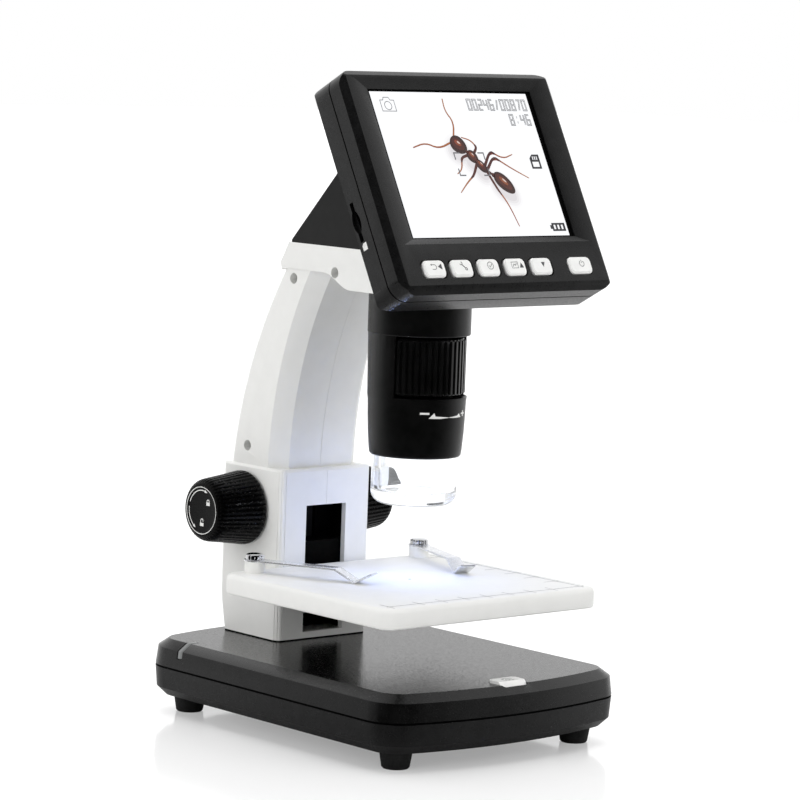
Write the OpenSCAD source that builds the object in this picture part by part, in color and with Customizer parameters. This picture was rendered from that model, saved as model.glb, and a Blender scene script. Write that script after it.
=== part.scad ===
// Free-standing digital microscope with its own colour screen.
// Frame: +Z up, the screen faces -Y, origin on the table under the middle of the base.

/* [Base] */
// Width of the base
base_w = 106; // [104:1:110]
// Depth of the base along its sides
base_side_d = 128.4; // [127:0.2:130]
// How far the front and rear edges bow outwards
base_bow = 7.9; // [6:0.1:9]
// Corner radius of the base in plan
base_corner = 13; // [11:0.5:14]
// Height of the base's top face
base_top_z = 25.9; // [25.5:0.1:26.3]
// Height of the seam between the base shells
base_seam_z = 16.7; // [16:0.1:17.5]
// Height of the rubber feet below the base
foot_h = 6.2; // [5:0.1:6.5]

/* [Column] */
// Width of the column
column_w = 40.8; // [40.4:0.2:42]
// Front face of the column, from the base's middle
column_front_y = 32.3; // [32:0.1:32.6]
// Rear face of the column
column_back_y = 65.7; // [65.4:0.1:66]
// Top of the column
column_top_z = 86; // [85.8:0.1:86.2]
// Width of the window that the stage carriage runs in
window_w = 18; // [17.5:0.5:19]

/* [Arm and head] */
// Width of the arm
arm_w = 39; // [38.6:0.2:39.4]
// Radius of the arm's front arc
arm_front_r = 141.1; // [141:0.1:141.4]
// Radius of the arm's rear arc
arm_back_r = 163.6; // [163.4:0.1:163.8]
// Top of the white head, where the black cover starts
head_top_z = 165.6; // [165.4:0.1:165.8]
// Distance of the optical axis in front of the base's middle
optic_y = 13.4; // [13:0.1:13.8]

/* [Stage] */
// Width of the stage plate
stage_w = 96; // [94:1:98]
// Front edge of the stage plate, in front of the base's middle
stage_front = 57.2; // [56:0.2:58]
// Height of the stage's top face
stage_top_z = 53; // [52.5:0.1:53.5]
// Thickness of the stage plate at its rim
stage_t = 7.1; // [6.6:0.1:7.6]
// Half the distance between the two stage clips
clip_x = 37.4; // [37:0.2:38]

/* [Drive] */
// Height of the focus shaft and of both knobs
shaft_z = 71; // [70.5:0.1:71.5]
// Distance of the focus shaft behind the base's middle
shaft_y = 52; // [51.5:0.1:52.2]
// Tooth module of the rack and pinion
tooth_module = 0.8; // [0.8:0.05:0.8]
// Teeth on the pinion
pinion_teeth = 12; // [12:1:12]

/* [Display] */
// Height of the middle of the screen
lcd_z = 196; // [195.5:0.1:196.4]
// Distance of the middle of the screen in front of the base's middle
lcd_front = 36; // [35.6:0.1:36.4]
// Backward tilt of the display
tilt = 28; // [27.8:0.1:28.2]
// Width of the display case
case_w = 94.3; // [94:0.1:95]
// Case edge above the middle of the screen
case_up = 33.6; // [33.4:0.1:34]
// Case edge below the middle of the screen
case_down = 46.5; // [46.3:0.1:47]
// Width of the picture area
lcd_w = 70.1; // [70:0.1:70.2]
// Height of the picture area
lcd_h = 52.6; // [52.4:0.1:52.8]

/* [Hidden] */
$fn = 64;
fine = 32;
slice_t = 0.02;
wall = 2.2;
gap = 0.3;
over = 1;
run_fit = 0.06;

shell_black = [0.10, 0.10, 0.10];
shell_white = [0.93, 0.93, 0.91];
board_green = [0.10, 0.35, 0.20];
steel = [0.75, 0.76, 0.78];

// ---------------------------------------------------------------- helpers

// Rectangle with true round corners, w by h, around the origin.
module rounded_rect(w, h, r) {
  square([w - 2 * r, h], center = true);
  square([w, h - 2 * r], center = true);
  for (sx = [-1, 1], sy = [-1, 1])
    translate([sx * (w / 2 - r), sy * (h / 2 - r)]) circle(r = r);
}

// A box between two corners.
module span(low, high) {
  translate(low) cube(high - low);
}

// Extrudes a (y, z) outline along X from x0 to x1.
module along_x(x0, x1) {
  translate([x0, 0, 0])
    rotate([90, 0, 90])
      linear_extrude(x1 - x0) children();
}

// Extrudes an (x, z) outline along Y from y0 to y1.
module along_y(y0, y1) {
  translate([0, y1, 0])
    rotate([90, 0, 0])
      linear_extrude(y1 - y0) children();
}

// A cylinder along X from x0 to x1.
module rod_x(r, x0, x1) {
  translate([x0, 0, 0]) rotate([0, 90, 0]) cylinder(r = r, h = x1 - x0);
}

// A smooth step from 0 to 1 as t goes from 0 to 1.
function ease(t) = (1 - cos(180 * t)) / 2;

// A small pan-head screw along -Z, its head's top at the origin.
module screw(shank, head_r = 2.2, shank_r = 1.1, head_h = 1.6, drive_r = 0.9) {
  difference() {
    union() {
      translate([0, 0, -head_h]) cylinder(r = head_r, h = head_h);
      translate([0, 0, -head_h - shank]) cylinder(r = shank_r, h = shank + slice_t);
    }
    translate([0, 0, -head_h / 2]) cylinder(r = drive_r, h = head_h, $fn = 6);
  }
}

// ---------------------------------------------------------------- base

base_d = base_side_d + 2 * base_bow;
bow_r = (pow(base_w / 2, 2) + pow(base_bow, 2)) / (2 * base_bow);
bow_y = bow_r - base_d / 2;
corner_x = base_w / 2 - base_corner;
corner_y = sqrt(pow(bow_r - base_corner, 2) - pow(corner_x, 2)) - bow_y;
bow_half = asin(corner_x / (bow_r - base_corner));
bow_steps = 7;
corner_steps = 9;
chamfer_z = base_top_z - 2.6;
chamfer_in = 4.5;
draft_in = 0.8;
seam_in = 0.5;
seam_h = 0.22;
belly_z = foot_h + 3;
belly_in = 0.6;
bottom_in = 3.8;
cavity_in = 3;
roof_z = base_top_z - wall;
floor_z = foot_h + 2;
foot_x = 40.3;
foot_y = 55;
foot_top_r = 5.75;
foot_low_r = 4.2;
foot_seat = 0.8;
screw_x = 30;
screw_y = 48;
boss_r = 3.2;
boss_split_z = 12;
snap_y = -64.2;
snap_w = 11.5;
snap_d = 7.6;
snap_r = 1.6;
snap_proud = 0.9;
pipe_y = 46;
pipe_w = 2.2;
pipe_rod_x = -base_w / 2 + chamfer_in + 2.2;
pipe_rod_r = 1;
jack_x = 26;
jack_z = 13.9;
jack_r = 3.2;
duct_y = 50;
duct_r = 5;
duct_screw_x = 14;

// One quarter of the plan outline, moved inwards by inset: from the front's middle along the bow
// and round the corner to the side. Both arcs touch at bow_half, where their normals agree.
function base_quarter(inset) = concat(
  [for (k = [0:bow_steps])
    let (a = bow_half * k / bow_steps)
    [(bow_r - inset) * sin(a), bow_y - (bow_r - inset) * cos(a)]],
  [for (k = [1:corner_steps])
    let (a = bow_half - 90 + (90 - bow_half) * k / corner_steps)
    [corner_x + (base_corner - inset) * cos(a), (base_corner - inset) * sin(a) - corner_y]]
);

// Plan outline of the base, moved inwards by inset: straight sides, bowed front and rear.
module base_outline(inset = 0) {
  q = base_quarter(inset);
  last = len(q) - 1;
  polygon(concat(
    q,
    [for (i = [last:-1:0]) [q[i][0], -q[i][1]]],
    [for (i = [1:last]) [-q[i][0], -q[i][1]]],
    [for (i = [last:-1:1]) [-q[i][0], q[i][1]]]
  ));
}

// A thin slice of the base whose top is at height z.
module base_slice(z, inset) {
  translate([0, 0, z - slice_t]) linear_extrude(slice_t) base_outline(inset);
}

// Places its children at the four corners (x, y).
module four_corners(x, y) {
  for (sx = [-1, 1], sy = [-1, 1]) translate([sx * x, sy * y, 0]) children();
}

// The light pipe's section in (x, z): over the top, down the chamfer and onto the side.
module pipe_section(grow = 0) {
  side_x = -base_w / 2 + draft_in;
  top_x = -base_w / 2 + chamfer_in;
  depth = 1.8;
  proud = grow > 0 ? over : 0.12;
  polygon([
    [top_x + 3.2 + grow, base_top_z + proud],
    [top_x - proud / 2, base_top_z + proud],
    [side_x - proud, chamfer_z + proud / 2],
    [side_x - proud - 0.3, chamfer_z - 2.4 - grow],
    [side_x + depth, chamfer_z - 2.4 - grow],
    [side_x + depth, chamfer_z - 0.9 - grow / 2],
    [top_x + 0.6, base_top_z - depth - grow / 2],
    [top_x + 3.2 + grow, base_top_z - depth - grow / 2]
  ]);
}

module base_upper_shell() {
  color(shell_black) {
    difference() {
      union() {
        translate([0, 0, base_seam_z]) linear_extrude(seam_h) base_outline(seam_in);
        hull() {
          base_slice(base_seam_z + seam_h, 0);
          base_slice(chamfer_z, draft_in);
          base_slice(base_top_z, chamfer_in);
        }
      }
      hull() {
        base_slice(base_seam_z - over, cavity_in);
        base_slice(chamfer_z - 1.5, cavity_in);
        base_slice(roof_z, chamfer_in + 1.4);
      }
      // Opening for the snap button.
      translate([0, snap_y, base_top_z - 6])
        linear_extrude(8) rounded_rect(snap_w + 2 * gap, snap_d + 2 * gap, snap_r + gap);
      // Slot for the light pipe.
      translate([0, pipe_y, 0]) along_y(-pipe_w / 2 - gap, pipe_w / 2 + gap) pipe_section(gap);
      translate([pipe_rod_x, pipe_y, roof_z - 2]) cylinder(r = pipe_rod_r + gap, h = 3);
      // Cable hole up into the column, and the clearance for the column's screws.
      translate([0, duct_y, roof_z - over]) cylinder(r = duct_r, h = 2 * wall);
      for (sx = [-1, 1])
        translate([sx * duct_screw_x, duct_y, roof_z - over]) cylinder(r = 1.6, h = 2 * wall);
      // The power socket's hole in the rear edge.
      translate([jack_x, base_d / 2 - 8, jack_z]) rotate([-90, 0, 0]) cylinder(r = jack_r, h = 10);
    }
    // Screw bosses under the roof.
    four_corners(screw_x, screw_y)
      translate([0, 0, boss_split_z])
        difference() {
          cylinder(r = boss_r, h = roof_z - boss_split_z + slice_t);
          translate([0, 0, -over]) cylinder(r = 1.1, h = 9);
        }
  }
}

module base_lower_shell() {
  color(shell_black)
    difference() {
      union() {
        // The tray with the lip of the seam.
        difference() {
          union() {
            translate([0, 0, base_seam_z - seam_h - slice_t])
              linear_extrude(seam_h + slice_t) base_outline(seam_in);
            hull() {
              base_slice(base_seam_z - seam_h, 0);
              base_slice(belly_z, belly_in);
              base_slice(foot_h + slice_t, bottom_in);
            }
          }
          hull() {
            base_slice(floor_z + slice_t, bottom_in + 1);
            base_slice(belly_z + 1.6, cavity_in + 0.2);
            base_slice(base_seam_z + over, cavity_in);
          }
        }
        four_corners(screw_x, screw_y)
          translate([0, 0, floor_z - 0.5]) cylinder(r = boss_r, h = boss_split_z - floor_z + 0.5);
        // Rails that hold the battery.
        for (sx = [-1, 1])
          span([sx * 28 - 0.8, -38, floor_z - 0.5], [sx * 28 + 0.8, 2, floor_z + 5]);
      }
      // Screw holes with their counterbores.
      four_corners(screw_x, screw_y) {
        translate([0, 0, foot_h - over]) cylinder(r = 1.4, h = 12);
        translate([0, 0, foot_h - over]) cylinder(r = 2.6, h = over + 2.2);
      }
      // Round seats for the feet.
      four_corners(foot_x, foot_y)
        translate([0, 0, foot_h - over]) cylinder(r = foot_top_r, h = over + foot_seat);
      // The power socket's hole.
      translate([jack_x, base_d / 2 - 8, jack_z]) rotate([-90, 0, 0]) cylinder(r = jack_r, h = 10);
    }
}

module base_feet() {
  color([0.08, 0.08, 0.08])
    four_corners(foot_x, foot_y)
      rotate_extrude()
        polygon([
          [0, 0], [foot_low_r, 0], [foot_low_r + 0.5, 0.5], [foot_top_r - 0.2, foot_h - 0.6],
          [foot_top_r - 0.02, foot_h], [foot_top_r - 0.02, foot_h + foot_seat], [0, foot_h + foot_seat]
        ]);
}

module base_screws() {
  color(steel)
    four_corners(screw_x, screw_y)
      translate([0, 0, foot_h + 0.6]) rotate([180, 0, 0]) screw(8, 2.2, 1.08);
}

module snap_button() {
  stem_h = 3.2;
  color(shell_white) {
    difference() {
      translate([0, snap_y, roof_z - 1.1])
        linear_extrude(base_top_z + snap_proud - roof_z + 1.1) rounded_rect(snap_w, snap_d, snap_r);
      // The front edge slopes down with the base's chamfer.
      translate([0, snap_y - snap_d / 2 - over, 0])
        along_x(-snap_w, snap_w)
          polygon([[-over, base_top_z - 1.2], [over + 0.2, base_top_z - 1.2],
                   [over + 2.2, base_top_z + snap_proud + 0.05], [over + 2.2, base_top_z + 3],
                   [-over, base_top_z + 3]]);
    }
    translate([0, snap_y, roof_z - 1.1 - stem_h]) cylinder(r = 1.4, h = stem_h + slice_t);
    translate([0, snap_y + 1.2, roof_z - 1.1])
      linear_extrude(0.7) rounded_rect(snap_w + 2.4, snap_d - 1.6, snap_r);
  }
}

module snap_switch() {
  board_z = roof_z - 9.4;
  color(board_green) span([-9, snap_y - 1.5, board_z], [9, snap_y + 12, board_z + 1.2]);
  color(steel) {
    translate([0, snap_y, board_z + 1.2]) linear_extrude(2.6) square([4.6, 2.6], center = true);
    translate([0, snap_y, board_z + 3.8 - slice_t]) cylinder(r = 1.1, h = 0.5);
  }
  // Posts that hang the board from the roof.
  color(shell_black)
    for (sx = [-1, 1])
      translate([sx * 7.2, snap_y + 9.5, board_z + 1.2]) cylinder(r = 1.2, h = roof_z - board_z - 1.2);
}

module light_pipe() {
  color([0.85, 0.88, 0.9])
    translate([0, pipe_y, 0]) {
      along_y(-pipe_w / 2, pipe_w / 2) pipe_section();
      translate([pipe_rod_x, 0, 17]) cylinder(r = pipe_rod_r, h = base_top_z - 1.8 - 17 + slice_t);
    }
}

module battery() {
  color([0.25, 0.45, 0.7])
    translate([0, -18, floor_z])
      intersection() {
        linear_extrude(6) rounded_rect(54, 38, 2);
        along_y(-20, 20) translate([0, 3]) rounded_rect(54, 6, 2.4);
      }
}

module charge_board() {
  board_z = boss_split_z + 1.4;
  color(board_green)
    difference() {
      span([-48.5, 32, board_z], [-10, 54.5, board_z + 1.6]);
      translate([-screw_x, screw_y, board_z - over]) cylinder(r = boss_r + gap, h = 5);
    }
  color([0.95, 0.95, 0.9])
    translate([pipe_rod_x, pipe_y, board_z + 1.6]) cylinder(r = 1.4, h = 1.6);
  color([0.15, 0.15, 0.15]) span([-30, 36, board_z + 1.6], [-20, 44, board_z + 3]);
  // Stand-offs on the tray's floor.
  color(shell_black)
    for (at = [[-44, 36], [-14, 36], [-14, 52]])
      translate([at[0], at[1], floor_z]) cylinder(r = 1.8, h = board_z - floor_z);
}

module power_socket() {
  back = base_d / 2 - 6.4;
  low = jack_z - 3.4;
  color([0.12, 0.12, 0.12])
    difference() {
      union() {
        span([jack_x - 4.6, back - 12, low], [jack_x + 4.6, back, jack_z + 4]);
        translate([jack_x, back - 7, floor_z]) cylinder(r = 2.4, h = low - floor_z + slice_t);
        translate([jack_x, back - over, jack_z])
          rotate([-90, 0, 0]) cylinder(r = jack_r - 0.15, h = over + 3);
      }
      translate([jack_x, back - 8, jack_z]) rotate([-90, 0, 0]) cylinder(r = 2.5, h = 12);
    }
  color(steel)
    translate([jack_x, back - 8.5, jack_z]) rotate([-90, 0, 0]) cylinder(r = 0.9, h = 8);
}

// ---------------------------------------------------------------- column

column_r = 2.4;
foot_back_y = column_back_y - 4.2;
heel_z = 46;
window_low_z = 28.5;
window_top_z = 73.2;
reveal = 0.9;
split_gap = 0.05;
seat_w = 28;
seat_y0 = 40;
seat_y1 = 58;
seat_h = 5;
bush_r = 4;

// Side outline of the column in (y, z), moved inwards by inset.
module column_side(inset = 0) {
  top = column_top_z - inset;
  polygon([
    [column_front_y + inset, base_top_z + inset],
    [foot_back_y - inset, base_top_z + inset],
    [column_back_y - inset, heel_z + inset],
    [column_back_y - inset, top - 1.6],
    [column_back_y - inset - 1.2, top],
    [column_front_y + inset + 0.8, top],
    [column_front_y + inset, top - 0.8]
  ]);
}

// The column's block, moved inwards by inset.
module column_block(inset = 0) {
  depth = column_back_y - column_front_y - 2 * inset;
  middle_y = (column_front_y + column_back_y) / 2;
  corner = max(column_r - inset, 0.6);
  half = column_w / 2 - inset;
  intersection() {
    along_x(-half, half) column_side(inset);
    translate([0, middle_y, base_top_z - over])
      linear_extrude(column_top_z) rounded_rect(2 * half, depth, corner);
    // The side edges of the top are broken.
    along_y(column_front_y - over, column_back_y + over)
      polygon([
        [-half, base_top_z], [half, base_top_z], [half, column_top_z - inset - 0.8],
        [half - 0.8, column_top_z - inset], [0.8 - half, column_top_z - inset],
        [-half, column_top_z - inset - 0.8]
      ]);
  }
}

// One half of the column: side is -1 for the left and 1 for the right.
module column_half(side) {
  difference() {
    column_block();
    column_block(wall);
    // The other half's room, with a hair of space at the seam.
    mirror([side > 0 ? 0 : 1, 0, 0])
      span([-column_w, 0, 0], [split_gap, 2 * column_back_y, column_top_z + over]);
    // The window at the front.
    span([-window_w / 2, column_front_y - over, window_low_z],
         [window_w / 2, column_front_y + wall + over, window_top_z]);
    // The upright reveal along the front corner.
    for (sx = [-1, 1])
      translate([sx * column_w / 2, column_front_y, (base_top_z + column_top_z) / 2])
        cube([2 * reveal, 2 * reveal, column_top_z], center = true);
    // Where the arm's tenon goes in.
    span([-seat_w / 2, seat_y0, column_top_z - wall - over],
         [seat_w / 2, seat_y1, column_top_z + over]);
    // The cable hole in the bottom, and the screw's hole.
    translate([0, duct_y, base_top_z - over]) cylinder(r = duct_r, h = 2 * wall);
    translate([side * duct_screw_x, duct_y, base_top_z - over]) cylinder(r = 1.1, h = 2 * wall);
    // Hole for the bush or the lock screw.
    translate([0, shaft_y, shaft_z]) rod_x(bush_r + 0.02, side > 0 ? 10 : -30, side > 0 ? 30 : -10);
  }
  // Screw boss in the foot.
  translate([side * duct_screw_x, duct_y, base_top_z + wall - slice_t])
    difference() {
      cylinder(r = 2.8, h = 5.8);
      translate([0, 0, -over]) cylinder(r = 1.1, h = 6);
    }
}

module column_left_shell() {
  color(shell_white) column_half(-1);
}

module column_right_shell() {
  color(shell_white) column_half(1);
}

module column_screws() {
  color(steel)
    for (sx = [-1, 1])
      translate([sx * duct_screw_x, duct_y, roof_z - 1.6]) rotate([180, 0, 0]) screw(6.6, 2.6, 1.08);
}

rail_in = 12.2;
rail_out = column_w / 2 - wall - 0.05;
rail_cut = 0.8;
web_y0 = 44.3;
web_y1 = 46;
ear_z0 = shaft_z - 7;
ear_z1 = shaft_z + 7;
thread_r = 2.5;

// The slideway inside the column: two rails, a slotted web and the ears of the shaft.
module guide_rail() {
  front = column_front_y + wall;
  low = base_top_z + wall;
  high = column_top_z - seat_h - 0.5;
  color(shell_black)
    difference() {
      union() {
        for (sx = [-1, 1]) mirror([sx < 0 ? 1 : 0, 0, 0]) {
          translate([0, 0, low])
            linear_extrude(high - low)
              polygon([[rail_in, front], [rail_out - rail_cut, front], [rail_out, front + rail_cut],
                       [rail_out, web_y1], [rail_in, web_y1]]);
          span([5, web_y0, low], [rail_in + slice_t, web_y1, high]);
          span([rail_in + 1, web_y1 - slice_t, ear_z0], [rail_out, shaft_y + 6, ear_z1]);
        }
        span([-5 - slice_t, web_y0, low], [5 + slice_t, web_y1, low + 4]);
      }
      translate([0, shaft_y, shaft_z]) {
        rod_x(thread_r + run_fit, -20, -10);
        rod_x(bush_r + 0.02, 6, 20);
      }
    }
}

// ---------------------------------------------------------------- arm and head

arm_axis_y = -104.6;
arm_axis_z = 83.2;
arm_back_axis_y = -99.3;
arm_back_axis_z = 65.3;
arm_flat = 28.4;
arm_band = 5;
back_r = 3;
head_w = 40.8;
head_low_z = 151.4;
head_rear_low_z = 156.5;
head_front_y = -52;
barrel_hole_r = 17.62;
tenon_low_z = column_top_z - seat_h;

// Side outline of the head in (y, z): a level underside with a smooth step down to the front.
module head_side(inset = 0) {
  step_y0 = 14;
  step_y1 = -0.4;
  steps = 12;
  low_rear = head_rear_low_z + inset;
  low_front = head_low_z + inset;
  polygon(concat(
    [[head_front_y, head_top_z - inset], [32.8 - inset, head_top_z - inset],
     [37.2 - inset, 158.2], [36.2 - inset, 155.7 + inset], [34.6 - inset, low_rear]],
    [for (i = [0:steps]) [step_y0 + (step_y1 - step_y0) * i / steps,
                          low_rear + (low_front - low_rear) * ease(i / steps)]],
    [[head_front_y, low_front]]
  ));
}

// A ring around an axis along X through (y, z); its section is drawn as (radius, x).
module ring_x(y, z) {
  translate([0, y, z])
    rotate([0, 90, 0])
      rotate_extrude($fn = 96) children();
}

// The curved limb between two arcs, moved inwards by inset.
module limb(inset = 0) {
  half = arm_w / 2 - inset;
  front = arm_front_r + inset;
  flat = arm_flat / 2 - inset / 2;
  far = arm_back_r + 60;
  back = arm_back_r - inset;
  corner = max(back_r - inset, 0.5);
  intersection() {
    ring_x(arm_axis_y, arm_axis_z)
      polygon([[front, -flat], [front + arm_band, -half], [far, -half],
               [far, half], [front + arm_band, half], [front, flat]]);
    ring_x(arm_back_axis_y, arm_back_axis_z) {
      translate([60, -half]) square([back - 60 - corner, 2 * half]);
      translate([60, corner - half]) square([back - 60, 2 * (half - corner)]);
      for (s = [-1, 1]) translate([back - corner, s * (half - corner)]) circle(r = corner);
    }
    span([-half, 0, column_top_z + inset],
         [half, 80, inset > 0 ? head_top_z - inset : head_rear_low_z + over]);
  }
}

// The head's block, which ends on the display's rear.
module head_block(inset = 0) {
  intersection() {
    along_x(-head_w / 2 + inset, head_w / 2 - inset) head_side(inset);
    at_display() span([-60, case_back_n + inset, -90], [60, 120, 90]);
  }
}

// Posts that the arm's screws pull together, as (y, z).
arm_screw_at = [[30.7, 153.1], [7.9, 156.8], [53.2, 92.6]];
post_r = 3;

module arm_body() {
  difference() {
    union() {
      limb();
      head_block();
      // Tenon that plugs into the column.
      span([-seat_w / 2 + 0.1, seat_y0 + 0.1, tenon_low_z],
           [seat_w / 2 - 0.1, seat_y1 - 0.1, column_top_z + over]);
    }
    difference() {
      union() {
        limb(wall);
        head_block(wall);
        span([-seat_w / 2 + 2, seat_y0 + 2, tenon_low_z - over],
             [seat_w / 2 - 2, seat_y1 - 2, column_top_z + wall + over]);
      }
      for (at = arm_screw_at)
        translate([0, at[0], at[1]]) rod_x(post_r, -arm_w / 2, arm_w / 2);
    }
    // The barrel's hole in the underside.
    translate([0, -optic_y, head_low_z - over]) cylinder(r = barrel_hole_r, h = 2 * wall);
    // The cable way up into the head cover.
    translate([0, 10, head_top_z - wall - over]) cylinder(r = 6, h = 2 * wall);
    // Screw holes, sunk from the left.
    for (at = arm_screw_at)
      translate([0, at[0], at[1]]) {
        rod_x(1.2, -arm_w, 0);
        rod_x(1.0, -over, arm_w / 2 - 4);
        rod_x(1.9, -arm_w, -arm_w / 2 + 5);
      }
  }
}

module arm_half(side) {
  difference() {
    arm_body();
    mirror([side > 0 ? 0 : 1, 0, 0])
      span([-head_w, -60, 60], [split_gap, 90, head_top_z + over]);
  }
}

module arm_left_shell() {
  color(shell_white) arm_half(-1);
}

module arm_right_shell() {
  color(shell_white) arm_half(1);
}

module arm_screws() {
  color(steel)
    for (at = arm_screw_at)
      translate([-arm_w / 2 + 3.4, at[0], at[1]]) rotate([0, -90, 0]) screw(22, 1.75, 0.98, 1.6, 0.8);
}

// ---------------------------------------------------------------- stage and its carriage

carriage_w = 24;
carriage_y0 = column_front_y + wall + 0.5;
carriage_y1 = 44;
carriage_z0 = 40.9;
carriage_z1 = 60.2;
neck_w = 15;
neck_z0 = 41.3;
neck_z1 = 51.3;
stage_back_y = 30;
stage_low_z = stage_top_z - stage_t;
stage_skin = 2.4;
stage_corner = 5;
stage_rim = 2.4;
tongue_w = 34;
tongue_front_y = -26;
tongue_t = 3;
stage_screw_at = [[-12, -20], [12, -20], [-12, 14], [12, 14]];
clip_y = 24.8;
boss_h = 3.9;
boss_out_r = 3.5;

stage_middle_y = (stage_back_y - stage_front) / 2;
stage_depth = stage_back_y + stage_front;

module stage_carriage() {
  color(shell_black) {
    difference() {
      span([-carriage_w / 2, carriage_y0, carriage_z0], [carriage_w / 2, carriage_y1, carriage_z1]);
      // Lightening pockets in the rear, beside the rack.
      for (sx = [-1, 1])
        span([sx * 8 - 2.5, 39, carriage_z0 + 3], [sx * 8 + 2.5, carriage_y1 + over, carriage_z1 - 3]);
    }
    // Neck through the window, and the tongue under the stage.
    span([-neck_w / 2, stage_back_y - 4, neck_z0], [neck_w / 2, carriage_y0 + slice_t, neck_z1]);
    difference() {
      span([-tongue_w / 2, tongue_front_y, stage_low_z + 0.4],
           [tongue_w / 2, stage_back_y - stage_rim - 0.2, stage_low_z + 0.4 + tongue_t]);
      for (at = stage_screw_at)
        translate([at[0], at[1], stage_low_z - over]) cylinder(r = 1.4, h = 8);
    }
  }
}

pitch = PI * tooth_module;
pitch_r = tooth_module * pinion_teeth / 2;
pressure = 25;
play = 0.10;
rack_half = 3.5;
rack_line_y = shaft_y - pitch_r;
rack_low = -9;
rack_high = 6;

// Rack teeth face +Y. A gap is centred on the shaft's height, where the pinion has a tooth.
module rack() {
  add = tooth_module;
  ded = 1.2 * tooth_module;
  thick = pitch / 2 - play;
  tip = thick / 2 - add * tan(pressure);
  root = thick / 2 + ded * tan(pressure);
  color(steel)
    along_x(-rack_half, rack_half)
      translate([rack_line_y, shaft_z]) {
        translate([carriage_y1 - rack_line_y, (rack_low - 0.5) * pitch])
          square([rack_line_y - carriage_y1 - ded, (rack_high - rack_low + 1) * pitch]);
        for (i = [rack_low:rack_high - 1])
          translate([0, (i + 0.5) * pitch])
            polygon([[-ded - slice_t, -root], [add, -tip], [add, tip], [-ded - slice_t, root]]);
      }
}

// Levels of the stage's edge as [z, inset]: a small round below and a larger one above.
stage_low_r = 1;
stage_top_r = 1.8;
stage_levels = concat(
  [for (a = [0:30:90]) [stage_low_z + stage_low_r * (1 - cos(a)), stage_low_r * (1 - sin(a))]],
  [for (a = [0:18:90]) [stage_top_z - stage_top_r * (1 - sin(a)), stage_top_r * (1 - cos(a))]]
);

module stage_plate() {
  rim = stage_rim;
  color(shell_white) {
    difference() {
      // The rim's upper and lower edges are rounded all round.
      hull() {
        for (level = stage_levels)
          translate([0, stage_middle_y, min(level[0], stage_top_z - slice_t)])
            linear_extrude(slice_t, $fn = fine)
              rounded_rect(stage_w - 2 * level[1], stage_depth - 2 * level[1], stage_corner - level[1]);
      }
      difference() {
        translate([0, stage_middle_y, stage_low_z - over])
          linear_extrude(stage_t - stage_skin + over)
            rounded_rect(stage_w - 2 * rim, stage_depth - 2 * rim, stage_corner - rim);
        // Stiffening ribs on the underside, on both sides of the tongue.
        for (sx = [-1, 1])
          span([sx * 26 - 0.7, -stage_front, stage_low_z + 1.2], [sx * 26 + 0.7, stage_back_y, stage_top_z]);
        for (y = [-42, -32])
          span([-stage_w / 2, y - 0.7, stage_low_z + 1.2], [stage_w / 2, y + 0.7, stage_top_z]);
      }
      // The neck passes under the rear rim.
      span([-neck_w / 2 - gap, stage_back_y - 6, stage_low_z - over],
           [neck_w / 2 + gap, stage_back_y + over, neck_z1 + gap]);
      for (sx = [-1, 1])
        translate([sx * clip_x, clip_y, stage_low_z]) cylinder(r = 1.3, h = stage_t + 10);
    }
    // Bosses that the clips turn on.
    for (sx = [-1, 1])
      translate([sx * clip_x, clip_y, stage_top_z - 0.5])
        difference() {
          cylinder(r = boss_out_r, h = boss_h + 0.5);
          translate([0, 0, -over]) cylinder(r = 1.3, h = boss_h + 3);
        }
    for (at = stage_screw_at)
      translate([at[0], at[1], stage_low_z + 0.4 + tongue_t])
        difference() {
          cylinder(r = 2.8, h = stage_t - stage_skin - 0.4 - tongue_t + 0.2);
          translate([0, 0, -over]) cylinder(r = 0.95, h = 3);
        }
  }
}

module stage_screws() {
  color(steel)
    for (at = stage_screw_at)
      translate([at[0], at[1], stage_low_z - 1.2]) rotate([180, 0, 0]) screw(4.1, 2.2, 0.93);
}

clip_t = 0.6;
clip_w = 5.4;
clip_run = 31;
clip_drop = 7.5;
clip_lift = 6.5;
clip_end_r = 3.8;
clip_z = stage_top_z + boss_h;
left_clip_turn = -65;
right_clip_turn = -109;
clip_head_r = 3.1;
clip_head_h = 2.6;

// One spring clip, its pivot at the origin, reaching along +X: flat, down to the slide, up at the tip.
module clip_strip() {
  drop = boss_h - 0.05;
  rise = 3.4;
  difference() {
    union() {
      cylinder(r = clip_end_r, h = clip_t);
      translate([0, clip_w / 2, 0])
        rotate([90, 0, 0])
          linear_extrude(clip_w)
            polygon([
              [0, 0], [clip_run, 0], [clip_run + clip_drop, -drop],
              [clip_run + clip_drop + clip_lift, rise - drop],
              [clip_run + clip_drop + clip_lift - 0.3, rise - drop + clip_t],
              [clip_run + clip_drop, clip_t * 1.2 - drop],
              [clip_run + 0.25, clip_t], [0, clip_t]
            ]);
    }
    translate([0, 0, -over]) cylinder(r = 1.3, h = 3);
  }
}

module clip_at(side, turn) {
  translate([side * clip_x, clip_y, clip_z]) rotate([0, 0, turn]) children();
}

module clip_left() {
  color([0.85, 0.86, 0.88]) clip_at(-1, left_clip_turn) clip_strip();
}

module clip_right() {
  color([0.85, 0.86, 0.88]) clip_at(1, right_clip_turn) clip_strip();
}

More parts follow.
